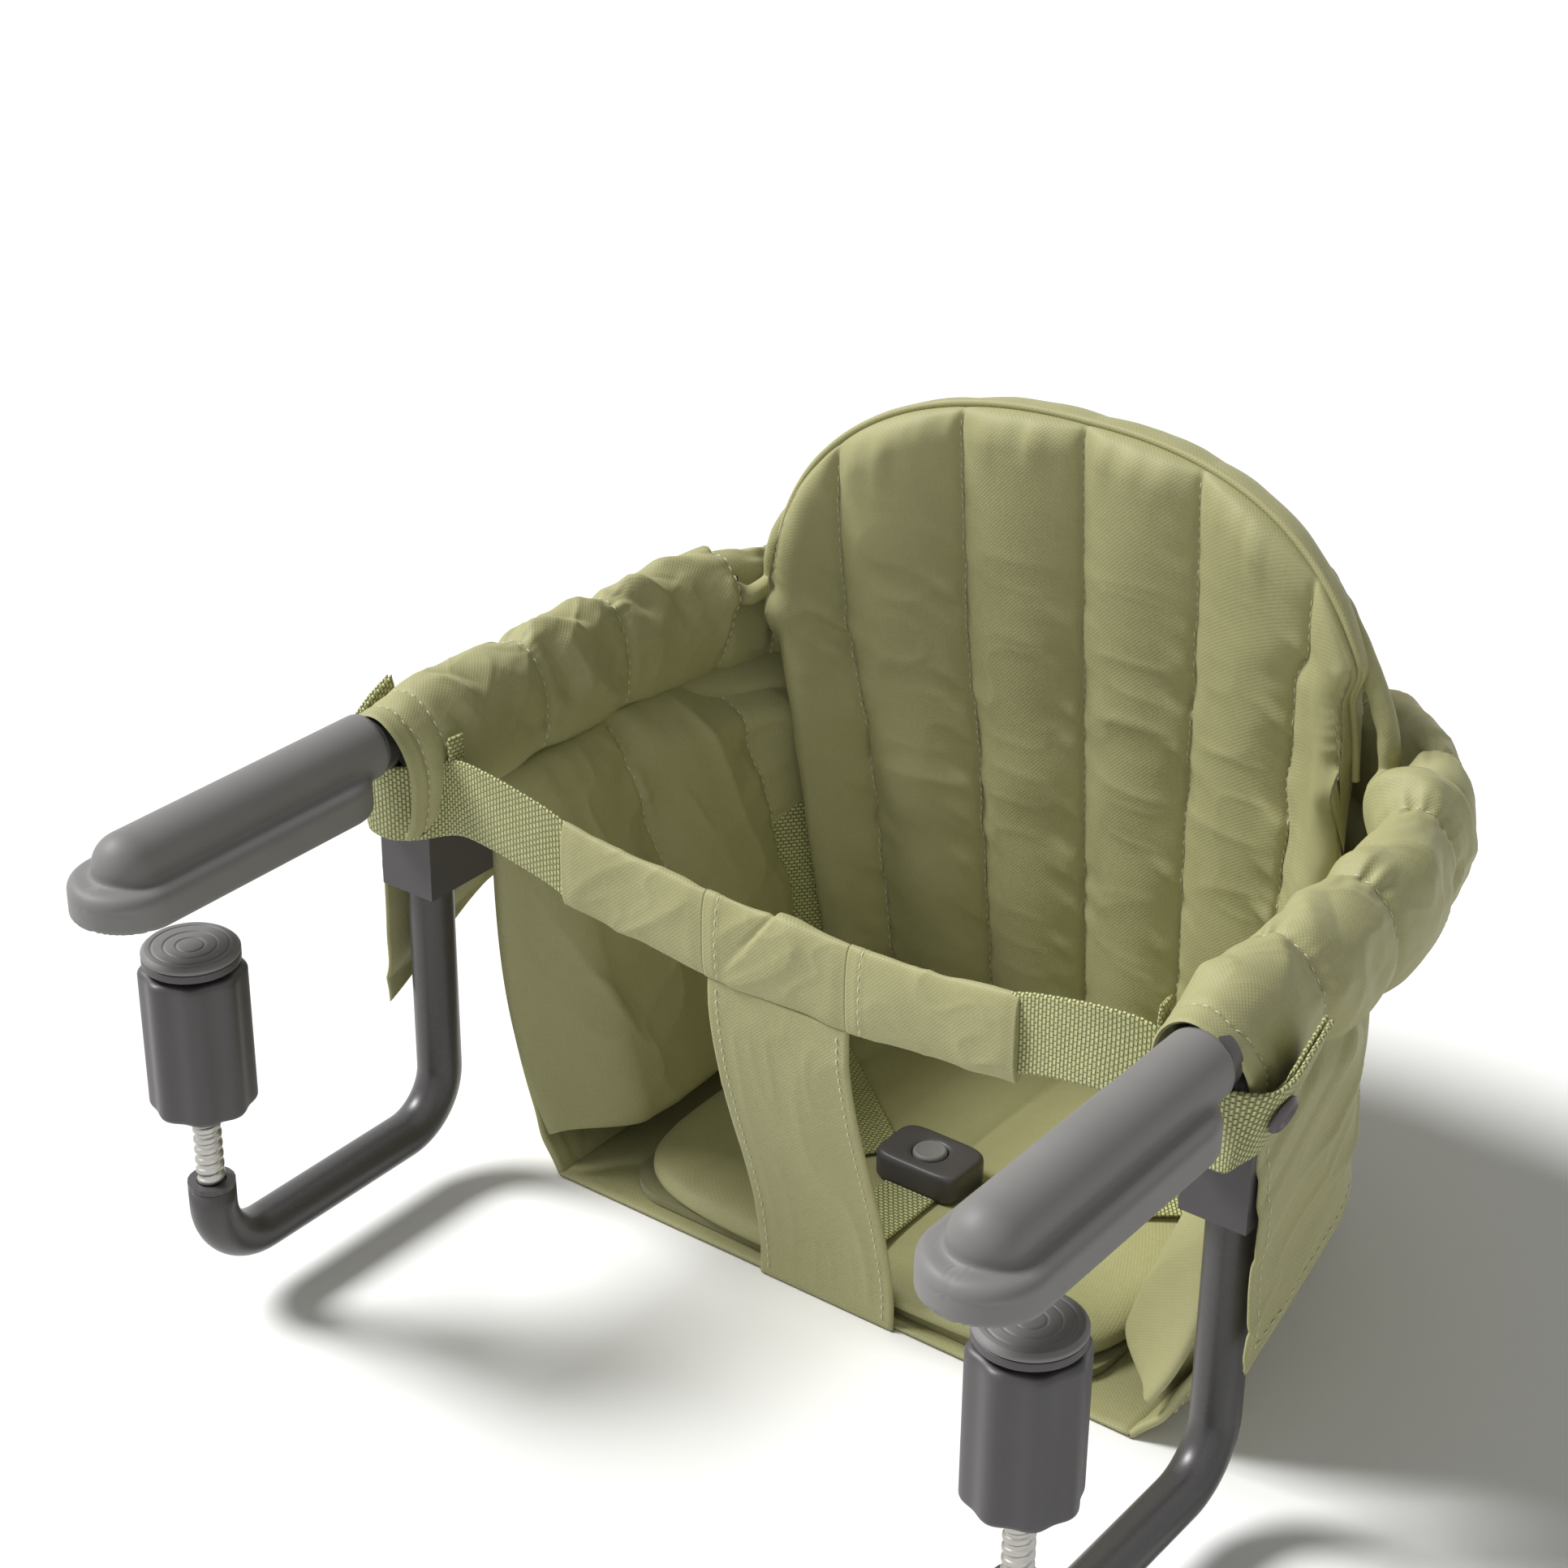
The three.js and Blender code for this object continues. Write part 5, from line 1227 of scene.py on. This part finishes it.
def strap_skins(start, end, sizes, seed, marks):
    """A soft flat tube: rings of a squared oval 8 mm deep, from 42 to 3 mm below the origin in the middle,
    rising to 3.5 mm above it at the outer end. A marked end is hemmed and stitched, and the middle strap has
    a slanted tuck."""
    length = abs(end - start)
    rows = int(length / 0.8)
    x = np.linspace(start, end, rows)
    share = strap_share(x)
    high = mix(-3.0, 3.5, share ** 1.5)[:, None]
    low = -mix(42.0, 35.0, share)[:, None]
    from_end = np.minimum(np.abs(x - start), np.abs(x - end))[:, None]
    full = mix(0.86, 1.0, smoothstep(0, 7, from_end))
    angle = np.arange(104) / 104 * TURN

    def eased(value):
        return np.sign(value) * np.abs(value) ** 0.8

    y = STRAP_Y + eased(np.cos(angle))[None] * 4 * full
    z = mix(low, high, (1 + eased(np.sin(angle))[None]) / 2)
    grid = points_of(np.broadcast_to(x[:, None], y.shape), y, z)
    normal = normals_of(grid, True) * facing(grid, rows // 2, 0, (0, 1, 0), True)
    slanted = grid @ np.array([[0.8, 0, -0.6], [0, 1, 0], [0.6, 0, 0.8]])
    folds = 1.3 * (creases(slanted, (40, 14, 24), seed) - 0.42) + 0.7 * noise(grid, (26, 14, 18), seed + 1)
    relief = folds * smoothstep(2, 14, from_end)
    for place, marked in zip((start, end), marks):
        if marked:
            gap = np.abs(x - place)[:, None]
            relief = relief + 0.35 * smoothstep(8.5, 7.5, gap) - 0.4 * np.exp(-((gap - 6.5) / 0.8) ** 2)
    if abs(start) == abs(end):
        across = (grid[..., 0] - 3.6) * 0.8 - (grid[..., 2] - 2.3) * 0.6
        tuck = smoothstep(-0.6, 0.6, across) * smoothstep(30, 3, across) * smoothstep(-40, -18, grid[..., 2])
        furrow = np.exp(-((across + 1.4) / 1.2) ** 2) * smoothstep(-34, -14, grid[..., 2])
        relief = relief + 1.7 * tuck - 0.7 * furrow
    grid = grid + normal * relief[..., None]
    skins = [outward(grid_skin(capped(grid, 0.93), around=True))]
    sign = facing(grid, rows // 2, 0, (0, 1, 0), True)
    columns = np.linspace(0, 103, 110)
    for place, marked in zip((6.5 / 0.8, rows - 1 - 6.5 / 0.8), marks):
        if marked:
            skins.append(seam_on(grid, np.full(110, place), columns, sizes, sign, True))
    return skins


# The webbing's line past the right post
BAND = np.array([
    [106.0, 24, -15.2], [118, 23.6, -11], [135, 23, -7], [150, 23, -4.6], [166, 24, -4.5], [177, 24.2, -8],
    [189, 19, -12], [200, 14, -13], [211, 13, -11], [218.5, 16, -7.2], [221.6, 22, -4], [222.5, 34, 3.5],
    [222.5, 46, 9]])


def webbing_skins(side):
    """A band 34 mm high and 1.9 mm thick, upright along its line past the post and leaning out by 0.33 at its
    outer end, which is turned back on itself, and a short tail above it on the cuff's inner side."""
    s = SIDES[side]
    line = along_line(BAND, 260)
    flat = unit(np.gradient(line, axis=0) * [1, 1, 0])
    out = np.stack([-flat[:, 1], flat[:, 0], 0 * flat[:, 0]], axis=1)
    lean = smoothstep(206, 220, line[:, 0])
    up = unit(np.stack([0.33 * lean, 0 * lean, 1 + 0 * lean], axis=1))[:, None]
    w = np.linspace(-1, 1, 40)[None, :, None]
    middle = line[:, None] + w * up * 17.0
    curl = 0.8 * noise(middle, (30, 30, 20), 91 + s)[..., None] * out[:, None]
    band = middle + curl
    skins = [sheet_skin(band * [s, 1, 1], 1.9)]
    folded = band[-42:] - np.array([0.95, 0, -0.31]) * np.linspace(2.1, 2.5, 42)[:, None, None]
    skins.append(sheet_skin(folded * [s, 1, 1], 1.8))
    t = np.linspace(0, 1, 14)[:, None]
    wide = np.linspace(0, 1, 12)[None]
    tail = points_of(172.2 - 0.9 * wide - 0.7 * np.sin(t * 3), 24 + 7 * wide + 0 * t, 6 + 15 * t + 0 * wide)
    skins.append(sheet_skin(tail * [s, 1, 1], 1.9))
    return skins


def snap_skin(s):
    profile = [[0, 0], [7.6, 0], [8, 0.5], [7.8, 1.5], [6.6, 2.7], [5.6, 3], [4, 2.9], [3, 2.1], [0, 1.9]]
    return turned(profile, [s * 223.0, POST - 15, -3.4], [s * 0.95, 0, -0.31], soft=0.5)


def crotch_panel_skins(sizes):
    """A cloth from the strap's foot down and back to the bag's floor, along a smooth step."""
    v = np.linspace(0, 1, 120)[:, None]
    u = np.linspace(-1, 1, 60)[None]
    y = mix(STRAP_Y, BAG_FRONT - 1.8, smoothstep(0, 1, v)) + 0 * u
    z = -mix(42.3, 206.6, v) + 0 * u
    x = 34 * u + 0 * v
    flat = points_of(x, 0 * x, z)
    folds = 1.2 * (creases(flat, (20, 1, 80), 95) - 0.4) * smoothstep(0, 0.1, v) * smoothstep(1, 0.9, v)
    grid = points_of(x, y - folds, z)
    skins = [sheet_skin(grid, 2.4)]
    sign = facing(grid, 60, 30, (0, -1, 0))
    lifted = grid + normals_of(grid) * sign * 1.2
    for column in (3.5, 55.5):
        skins.append(seam_on(lifted, np.linspace(2, 117, 300), np.full(300, column), sizes, sign))
    return skins


def belt_skins(side):
    """A band 25 mm wide: out of the seam beside the cushion, down, round a 12 mm bend, and along the seat pad
    to the buckle."""
    s = SIDES[side]
    start = np.array([138.0, BACK_Y - 23.4])
    end = np.array([30.0, BUCKLE_Y])
    along = unit(end - start)
    run = np.linalg.norm(end - start)
    t = np.linspace(0, 1, 12) * TURN / 4
    profile = np.concatenate([
        [[-4, 104], [-2, 96], [-0.5, 86], [0, 76]],
        np.stack([12 * (1 - np.cos(t)), 12 * (1 - np.sin(t))], axis=1), [[run, 0]]])
    line = along_line(profile, 220, smooth=False)
    path = np.concatenate([start + line[:, :1] * along, ON_PAD + line[:, 1:] + 1.1], axis=1)
    level = np.array([-along[1], along[0], 0])
    w = np.linspace(-12.5, 12.5, 26)[None, :, None]
    grid = (path[:, None] + w * level) * [s, 1, 1]
    return [sheet_skin(grid, 1.7)]


def crotch_strap_skins():
    y = np.linspace(BAG_FRONT + 3, BUCKLE_Y - 15.3, 60)[:, None]
    x = np.linspace(-12.5, 12.5, 26)[None]
    z = ON_PAD + 1.0 + 0.25 * np.sin(y / 9) + 0 * x
    return [sheet_skin(points_of(x + 0 * y, y + 0 * x, z), 1.6)]


def squared(half_x, half_y, count, power):
    """A squared oval: its reach at each angle is (|cos|^n + |sin|^n)^(-1/n)."""
    a = np.arange(count) / count * TURN
    reach = (np.abs(np.cos(a)) ** power + np.abs(np.sin(a)) ** power) ** (-1 / power)
    return np.stack([half_x * reach * np.cos(a), half_y * reach * np.sin(a)], axis=1)


def buckle_skins():
    """A rounded block with a dished round recess: rings that pass from its outline to the recess's circle."""
    outline = squared(22, 15, 96, 5)
    round_hole = circle(8, 96)
    rings = []
    for share, z in ((0, 0), (0.5, 0), (0.9, 0), (0.955, 0.3), (0.985, 1), (1, 2.4), (1, 11), (0.985, 12.6),
                     (0.95, 13.6), (0.9, 14)):
        rings.append((outline * share, z))
    for share, z in ((0.35, 14.0), (0.8, 13.9), (1, 13.4)):
        rings.append((mix(outline * 0.9, round_hole * 1.06, share), z))
    for share, z in ((1, 12.6), (1, 6.2), (0.97, 6), (0.5, 6), (0, 6)):
        rings.append((round_hole * share, z))
    grid = np.stack([np.concatenate([ring, np.full((96, 1), z)], axis=1) for ring, z in rings])
    return [outward(grid_skin(grid + np.array([0, BUCKLE_Y, -185.2]), around=True))]


def buckle_button_skin():
    profile = [[0, 0], [7.4, 0], [7.7, 0.4], [7.7, 4], [6.7, 5], [5.4, 4.7], [0, 4.5]]
    return turned(profile, [0, BUCKLE_Y, -175.2], [0, 0, 1], soft=0.5)


def seat_pad_skins():
    """A crowned pad: squared oval rings from its foot out to its edge and up over a soft crown with ribs."""
    outline = squared(124, 102, 240, 5)
    line = np.array([[0, 0], [0.6, 0], [0.9, 0], [0.97, 0.2], [0.995, 2], [1, 4.6], [0.995, 7.4], [0.97, 9.6],
                     [0.92, 11.4], [0.8, 13], [0.6, 14], [0.4, 14.4], [0.2, 14.5], [0, 14.5]])
    profile = along_line(line * [110, 1], 90) / [110, 1]
    spread = profile[:, None, :1] * outline
    grid = points_of(spread[..., 0], 166.0 + spread[..., 1], PAD_FOOT + profile[:, 1:])
    top = smoothstep(8, 13, grid[..., 2] - PAD_FOOT)
    near = np.abs(grid[..., 0] - np.round(grid[..., 0] / 41.3) * 41.3)
    dip = -1.6 * np.exp(-(near / 4) ** 1.3) + 0.5 * noise(grid, (20, 24, 9), 101)
    grid[..., 2] += np.minimum(dip, 0.3) * top
    return [outward(grid_skin(grid, around=True))]


# Operators
SEWN = ("cloth", "thread")


class ChairStep:
    """What the steps share: how a piece is made and tied to its solids."""
    bl_options = {"REGISTER", "UNDO"}

    def piece(self, name, skins, materials, body, *nodes, slot=None):
        """A mesh that rides on a body, if one is given, in place of the named nodes. Its slot argument is not
        used."""
        made_piece = make_piece(name, skins, finishes(*materials))
        if body:
            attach(made_piece, body)
        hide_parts(*nodes)
        return made_piece


def dress(node, name):
    """A kept solid gets a material in every slot."""
    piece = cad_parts[node]
    material = finishes(name)[0]
    if not piece.material_slots:
        piece.data.materials.append(material)
    for slot in piece.material_slots:
        slot.material = material


class CHAIR_OT_arms(ChairStep, bpy.types.Operator):
    """Build the arm tubes, shoes, collars, spindles and clamps"""
    bl_idname = "chair.arms"
    bl_label = "Arms and clamps"

    def execute(self, context):
        fillet = context.scene.chair_sizes.fillet / MM
        for side, s in SIDES.items():
            x = s * ARM
            for name, skin, material, body, node in (
                    ("rubber_shoe", shoe_skin(x, fillet), "rubber", "arm", "shoe"),
                    ("bent_tube", arm_tube_skin(x), "paint", "arm", "arm_tube"),
                    ("tube_collar", collar_skin(x), "paint", "arm", "collar"),
                    ("threaded_spindle", spindle_skin(x), "steel", "arm", "spindle"),
                    ("fluted_knob", knob_skin(x), "plastic", "knob", "clamp_knob"),
                    ("swivel_cup", pad_cup_skin(x), "plastic", "pad", "pad_cup"),
                    ("grip_pad", rubber_pad_skin(x), "rubber", "pad", "rubber_pad")):
                self.piece(f"{side}_{name}", [skin], [material], f"{side}_{body}", f"{side}_{node}")
            for node in ("pivot_housing", "pivot_bush", "end_plug", "hoop_clamp"):
                dress(f"{side}_{node}", "plastic")
            dress(f"{side}_lock_button", "rubber")
            dress(f"{side}_lock_spring", "steel")
        dress("rim_tube", "paint")
        dress("seat_board", "board")
        return {"FINISHED"}


class CHAIR_OT_rim(ChairStep, bpy.types.Operator):
    """Build the padded rim with its cuffs"""
    bl_idname = "chair.rim"
    bl_label = "Padded rim"

    def execute(self, context):
        sizes = context.scene.chair_sizes
        for side, s in SIDES.items():
            cover = self.piece(f"{side}_armrest_cover", armrest_skins(side, sizes), SEWN, None,
                               f"{side}_armrest_sleeve", f"{side}_cuff")
            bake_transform(cover)
        rear = self.piece("rear_cover", rear_cover_skins(sizes), SEWN, "frame", "rear_sleeve")
        return {"FINISHED"}


class CHAIR_OT_backrest(ChairStep, bpy.types.Operator):
    """Build the quilted back cushion, the wire hoop and the cover behind it"""
    bl_idname = "chair.backrest"
    bl_label = "Backrest"

    def execute(self, context):
        sizes = context.scene.chair_sizes
        cushion = self.piece("back_cushion", cushion_skins(sizes), SEWN, None,
                             "back_cushion_upper", "back_cushion_lower")
        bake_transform(cushion)
        self.piece("wire_hoop", [hoop_skin()], ["paint"], "backrest", "back_hoop")
        cover = self.piece("rear_cloth", back_cover_skins(sizes), SEWN, "backrest", "back_cover")
        return {"FINISHED"}


class CHAIR_OT_bag(ChairStep, bpy.types.Operator):
    """Build the seat bag, the side panels and the wings beside the posts"""
    bl_idname = "chair.bag"
    bl_label = "Seat bag and sides"

    def execute(self, context):
        sizes = context.scene.chair_sizes
        bag = self.piece("hanging_bag", bag_skins(sizes), SEWN, "frame", "seat_bag")
        for side in SIDES:
            wing = self.piece(f"{side}_wing", wing_skins(side, sizes), SEWN, "frame", f"{side}_side_wing")
            pad = self.piece(f"{side}_quilted_panel", side_pad_skins(side, sizes), SEWN, "frame",
                             f"{side}_side_pad")
        seat = self.piece("ribbed_seat_pad", seat_pad_skins(), ["cloth"], "frame", "seat_pad", slot="foam")
        return {"FINISHED"}


class CHAIR_OT_straps(ChairStep, bpy.types.Operator):
    """Build the front strap, the webbing, the belts and the buckle"""
    bl_idname = "chair.straps"
    bl_label = "Straps and buckle"

    def execute(self, context):
        sizes = context.scene.chair_sizes
        skins = strap_skins(-STRAP_HALF, STRAP_HALF, sizes, 111, (True, False))
        middle = self.piece("middle_strap", skins, SEWN, "frame", "strap_sleeve")
        for side, s in SIDES.items():
            end = 113 if s > 0 else 109
            skins = strap_skins(s * (STRAP_HALF + 0.4), s * end, sizes, 115 + s, (s > 0, False))
            outer = self.piece(f"{side}_strap", skins, SEWN, "frame", f"{side}_strap_sleeve")
            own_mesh(outer)
            band = self.piece(f"{side}_webbing", webbing_skins(side), ["webbing"], "frame",
                              f"{side}_front_webbing")
            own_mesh(band)
            self.piece(f"{side}_snap", [snap_skin(s)], ["snap"], "frame", f"{side}_snap_cap")
            belt = self.piece(f"{side}_belt", belt_skins(side), ["webbing"], "frame", f"{side}_waist_belt")
        panel = self.piece("crotch_cloth", crotch_panel_skins(sizes), SEWN, "frame", "crotch_panel")
        strap = self.piece("crotch_band", crotch_strap_skins(), ["webbing"], "frame", "crotch_strap")
        self.piece("buckle_case", buckle_skins(), ["plastic"], "frame", "buckle_body")
        self.piece("buckle_push", [buckle_button_skin()], ["rubber"], "buckle_release", "buckle_button")
        return {"FINISHED"}


# Stage
SOFT_LIGHT = 0.23
LAMPS = (("key", (-0.62, -0.26, 0.76), 20, 3.95), ("fill", (0.3, -0.8, 0.6), 60, 0.12))
LENS = 72.66
SENSOR = 36.0
CAMERA_ANGLES = (36.990, 27.311, 0.481)  # azimuth, elevation and roll in degrees
CAMERA_PLACE = (0.64527, -0.82944, 0.60786)


class CHAIR_OT_stage(ChairStep, bpy.types.Operator):
    """Set up the floor, the soft light and the camera"""
    bl_idname = "chair.stage"
    bl_label = "Stage"

    def execute(self, context):
        scene = context.scene
        colours = scene.chair_colours
        floor_z = cad_box[0][2] - 0.0006
        mesh = bpy.data.meshes.new("floor")
        reach = 6.0
        mesh.from_pydata([(-reach, -reach, floor_z), (reach, -reach, floor_z), (reach, reach, floor_z),
                          (-reach, reach, floor_z)], [], [(0, 1, 2, 3)])
        floor = bpy.data.objects.new("floor", mesh)
        scene.collection.objects.link(floor)
        material, tree = empty_material("Matt studio floor")
        finish_material(tree, opaque(colours.floor), Roughness=0.9, Specular_IOR_Level=0.1)
        mesh.materials.append(material)
        world = bpy.data.worlds.new("Studio")
        scene.world = world
        world.use_nodes = True
        tree = world.node_tree
        tree.nodes.clear()
        rays = add_node(tree, "ShaderNodeLightPath")
        seen = maths(tree, "MAXIMUM", rays.outputs["Is Camera Ray"], rays.outputs["Is Glossy Ray"])
        seen = maths(tree, "MAXIMUM", seen, rays.outputs["Is Transmission Ray"])
        soft, white = (add_node(tree, "ShaderNodeBackground", {"Color": (1, 1, 1, 1), "Strength": strength})
                       for strength in (SOFT_LIGHT, 1.0))
        both = add_node(tree, "ShaderNodeMixShader", {0: seen, 1: soft.outputs[0], 2: white.outputs[0]})
        add_node(tree, "ShaderNodeOutputWorld", {"Surface": both.outputs[0]})
        for name, direction, angle, power in LAMPS:
            lamp = bpy.data.lights.new(name, "SUN")
            lamp.angle = math.radians(angle)
            lamp.energy = power
            light = bpy.data.objects.new(name, lamp)
            scene.collection.objects.link(light)
            light.location = direction
            light.rotation_euler = direction_angles(-np.array(direction))
        eye = bpy.data.cameras.new("camera")
        eye.lens = LENS
        eye.sensor_width = SENSOR
        eye.clip_start = 0.05
        camera = bpy.data.objects.new("camera", eye)
        scene.collection.objects.link(camera)
        camera.matrix_world = camera_place()
        scene.camera = camera
        scene.view_settings.view_transform = "Standard"
        return {"FINISHED"}


def direction_angles(direction):
    """Euler angles that turn a lamp's -Z along a direction."""
    x, y, z = direction
    return (math.atan2(math.hypot(x, y), -z), 0, math.atan2(-x, y))


def camera_place():
    """The camera's place from its set angles and place, which were worked out from the two shoes, with its
    small roll.
    """
    a, e, roll = (math.radians(v) for v in CAMERA_ANGLES)
    back = np.array([math.sin(a) * math.cos(e), -math.cos(a) * math.cos(e), math.sin(e)])
    right = np.array([math.cos(a), math.sin(a), 0])
    up = np.cross(back, right)
    turned_right = math.cos(roll) * right + math.sin(roll) * up
    turned_up = math.cos(roll) * up - math.sin(roll) * right
    matrix = np.eye(4)
    matrix[:3, 0], matrix[:3, 1], matrix[:3, 2] = turned_right, turned_up, back
    matrix[:3, 3] = CAMERA_PLACE
    return Matrix(matrix.tolist())


class CHAIR_PT_panel(bpy.types.Panel):
    """The steps and their settings in the 3D view's sidebar"""
    bl_idname = "CHAIR_PT_panel"
    bl_label = "Table chair"
    bl_space_type = "VIEW_3D"
    bl_region_type = "UI"
    bl_category = "Table chair"

    def draw(self, context):
        for step in STEPS:
            self.layout.operator(step.bl_idname)
        for group in (context.scene.chair_sizes, context.scene.chair_colours):
            box = self.layout.box()
            for key in type(group).__annotations__:
                box.prop(group, key)


STEPS = (CHAIR_OT_stage, CHAIR_OT_arms, CHAIR_OT_rim, CHAIR_OT_backrest, CHAIR_OT_bag, CHAIR_OT_straps)
CLASSES = (ChairSizes, ChairColours, *STEPS, CHAIR_PT_panel)


def register():
    for item in CLASSES:
        bpy.utils.register_class(item)
    bpy.types.Scene.chair_sizes = bpy.props.PointerProperty(type=ChairSizes)
    bpy.types.Scene.chair_colours = bpy.props.PointerProperty(type=ChairColours)


def unregister():
    del bpy.types.Scene.chair_colours
    del bpy.types.Scene.chair_sizes
    for item in reversed(CLASSES):
        bpy.utils.unregister_class(item)


def main():
    register()
    bpy.ops.chair.stage()
    bpy.ops.chair.arms()
    bpy.ops.chair.rim()
    bpy.ops.chair.backrest()
    bpy.ops.chair.bag()
    bpy.ops.chair.straps()


if __name__ == "__main__":
    main()
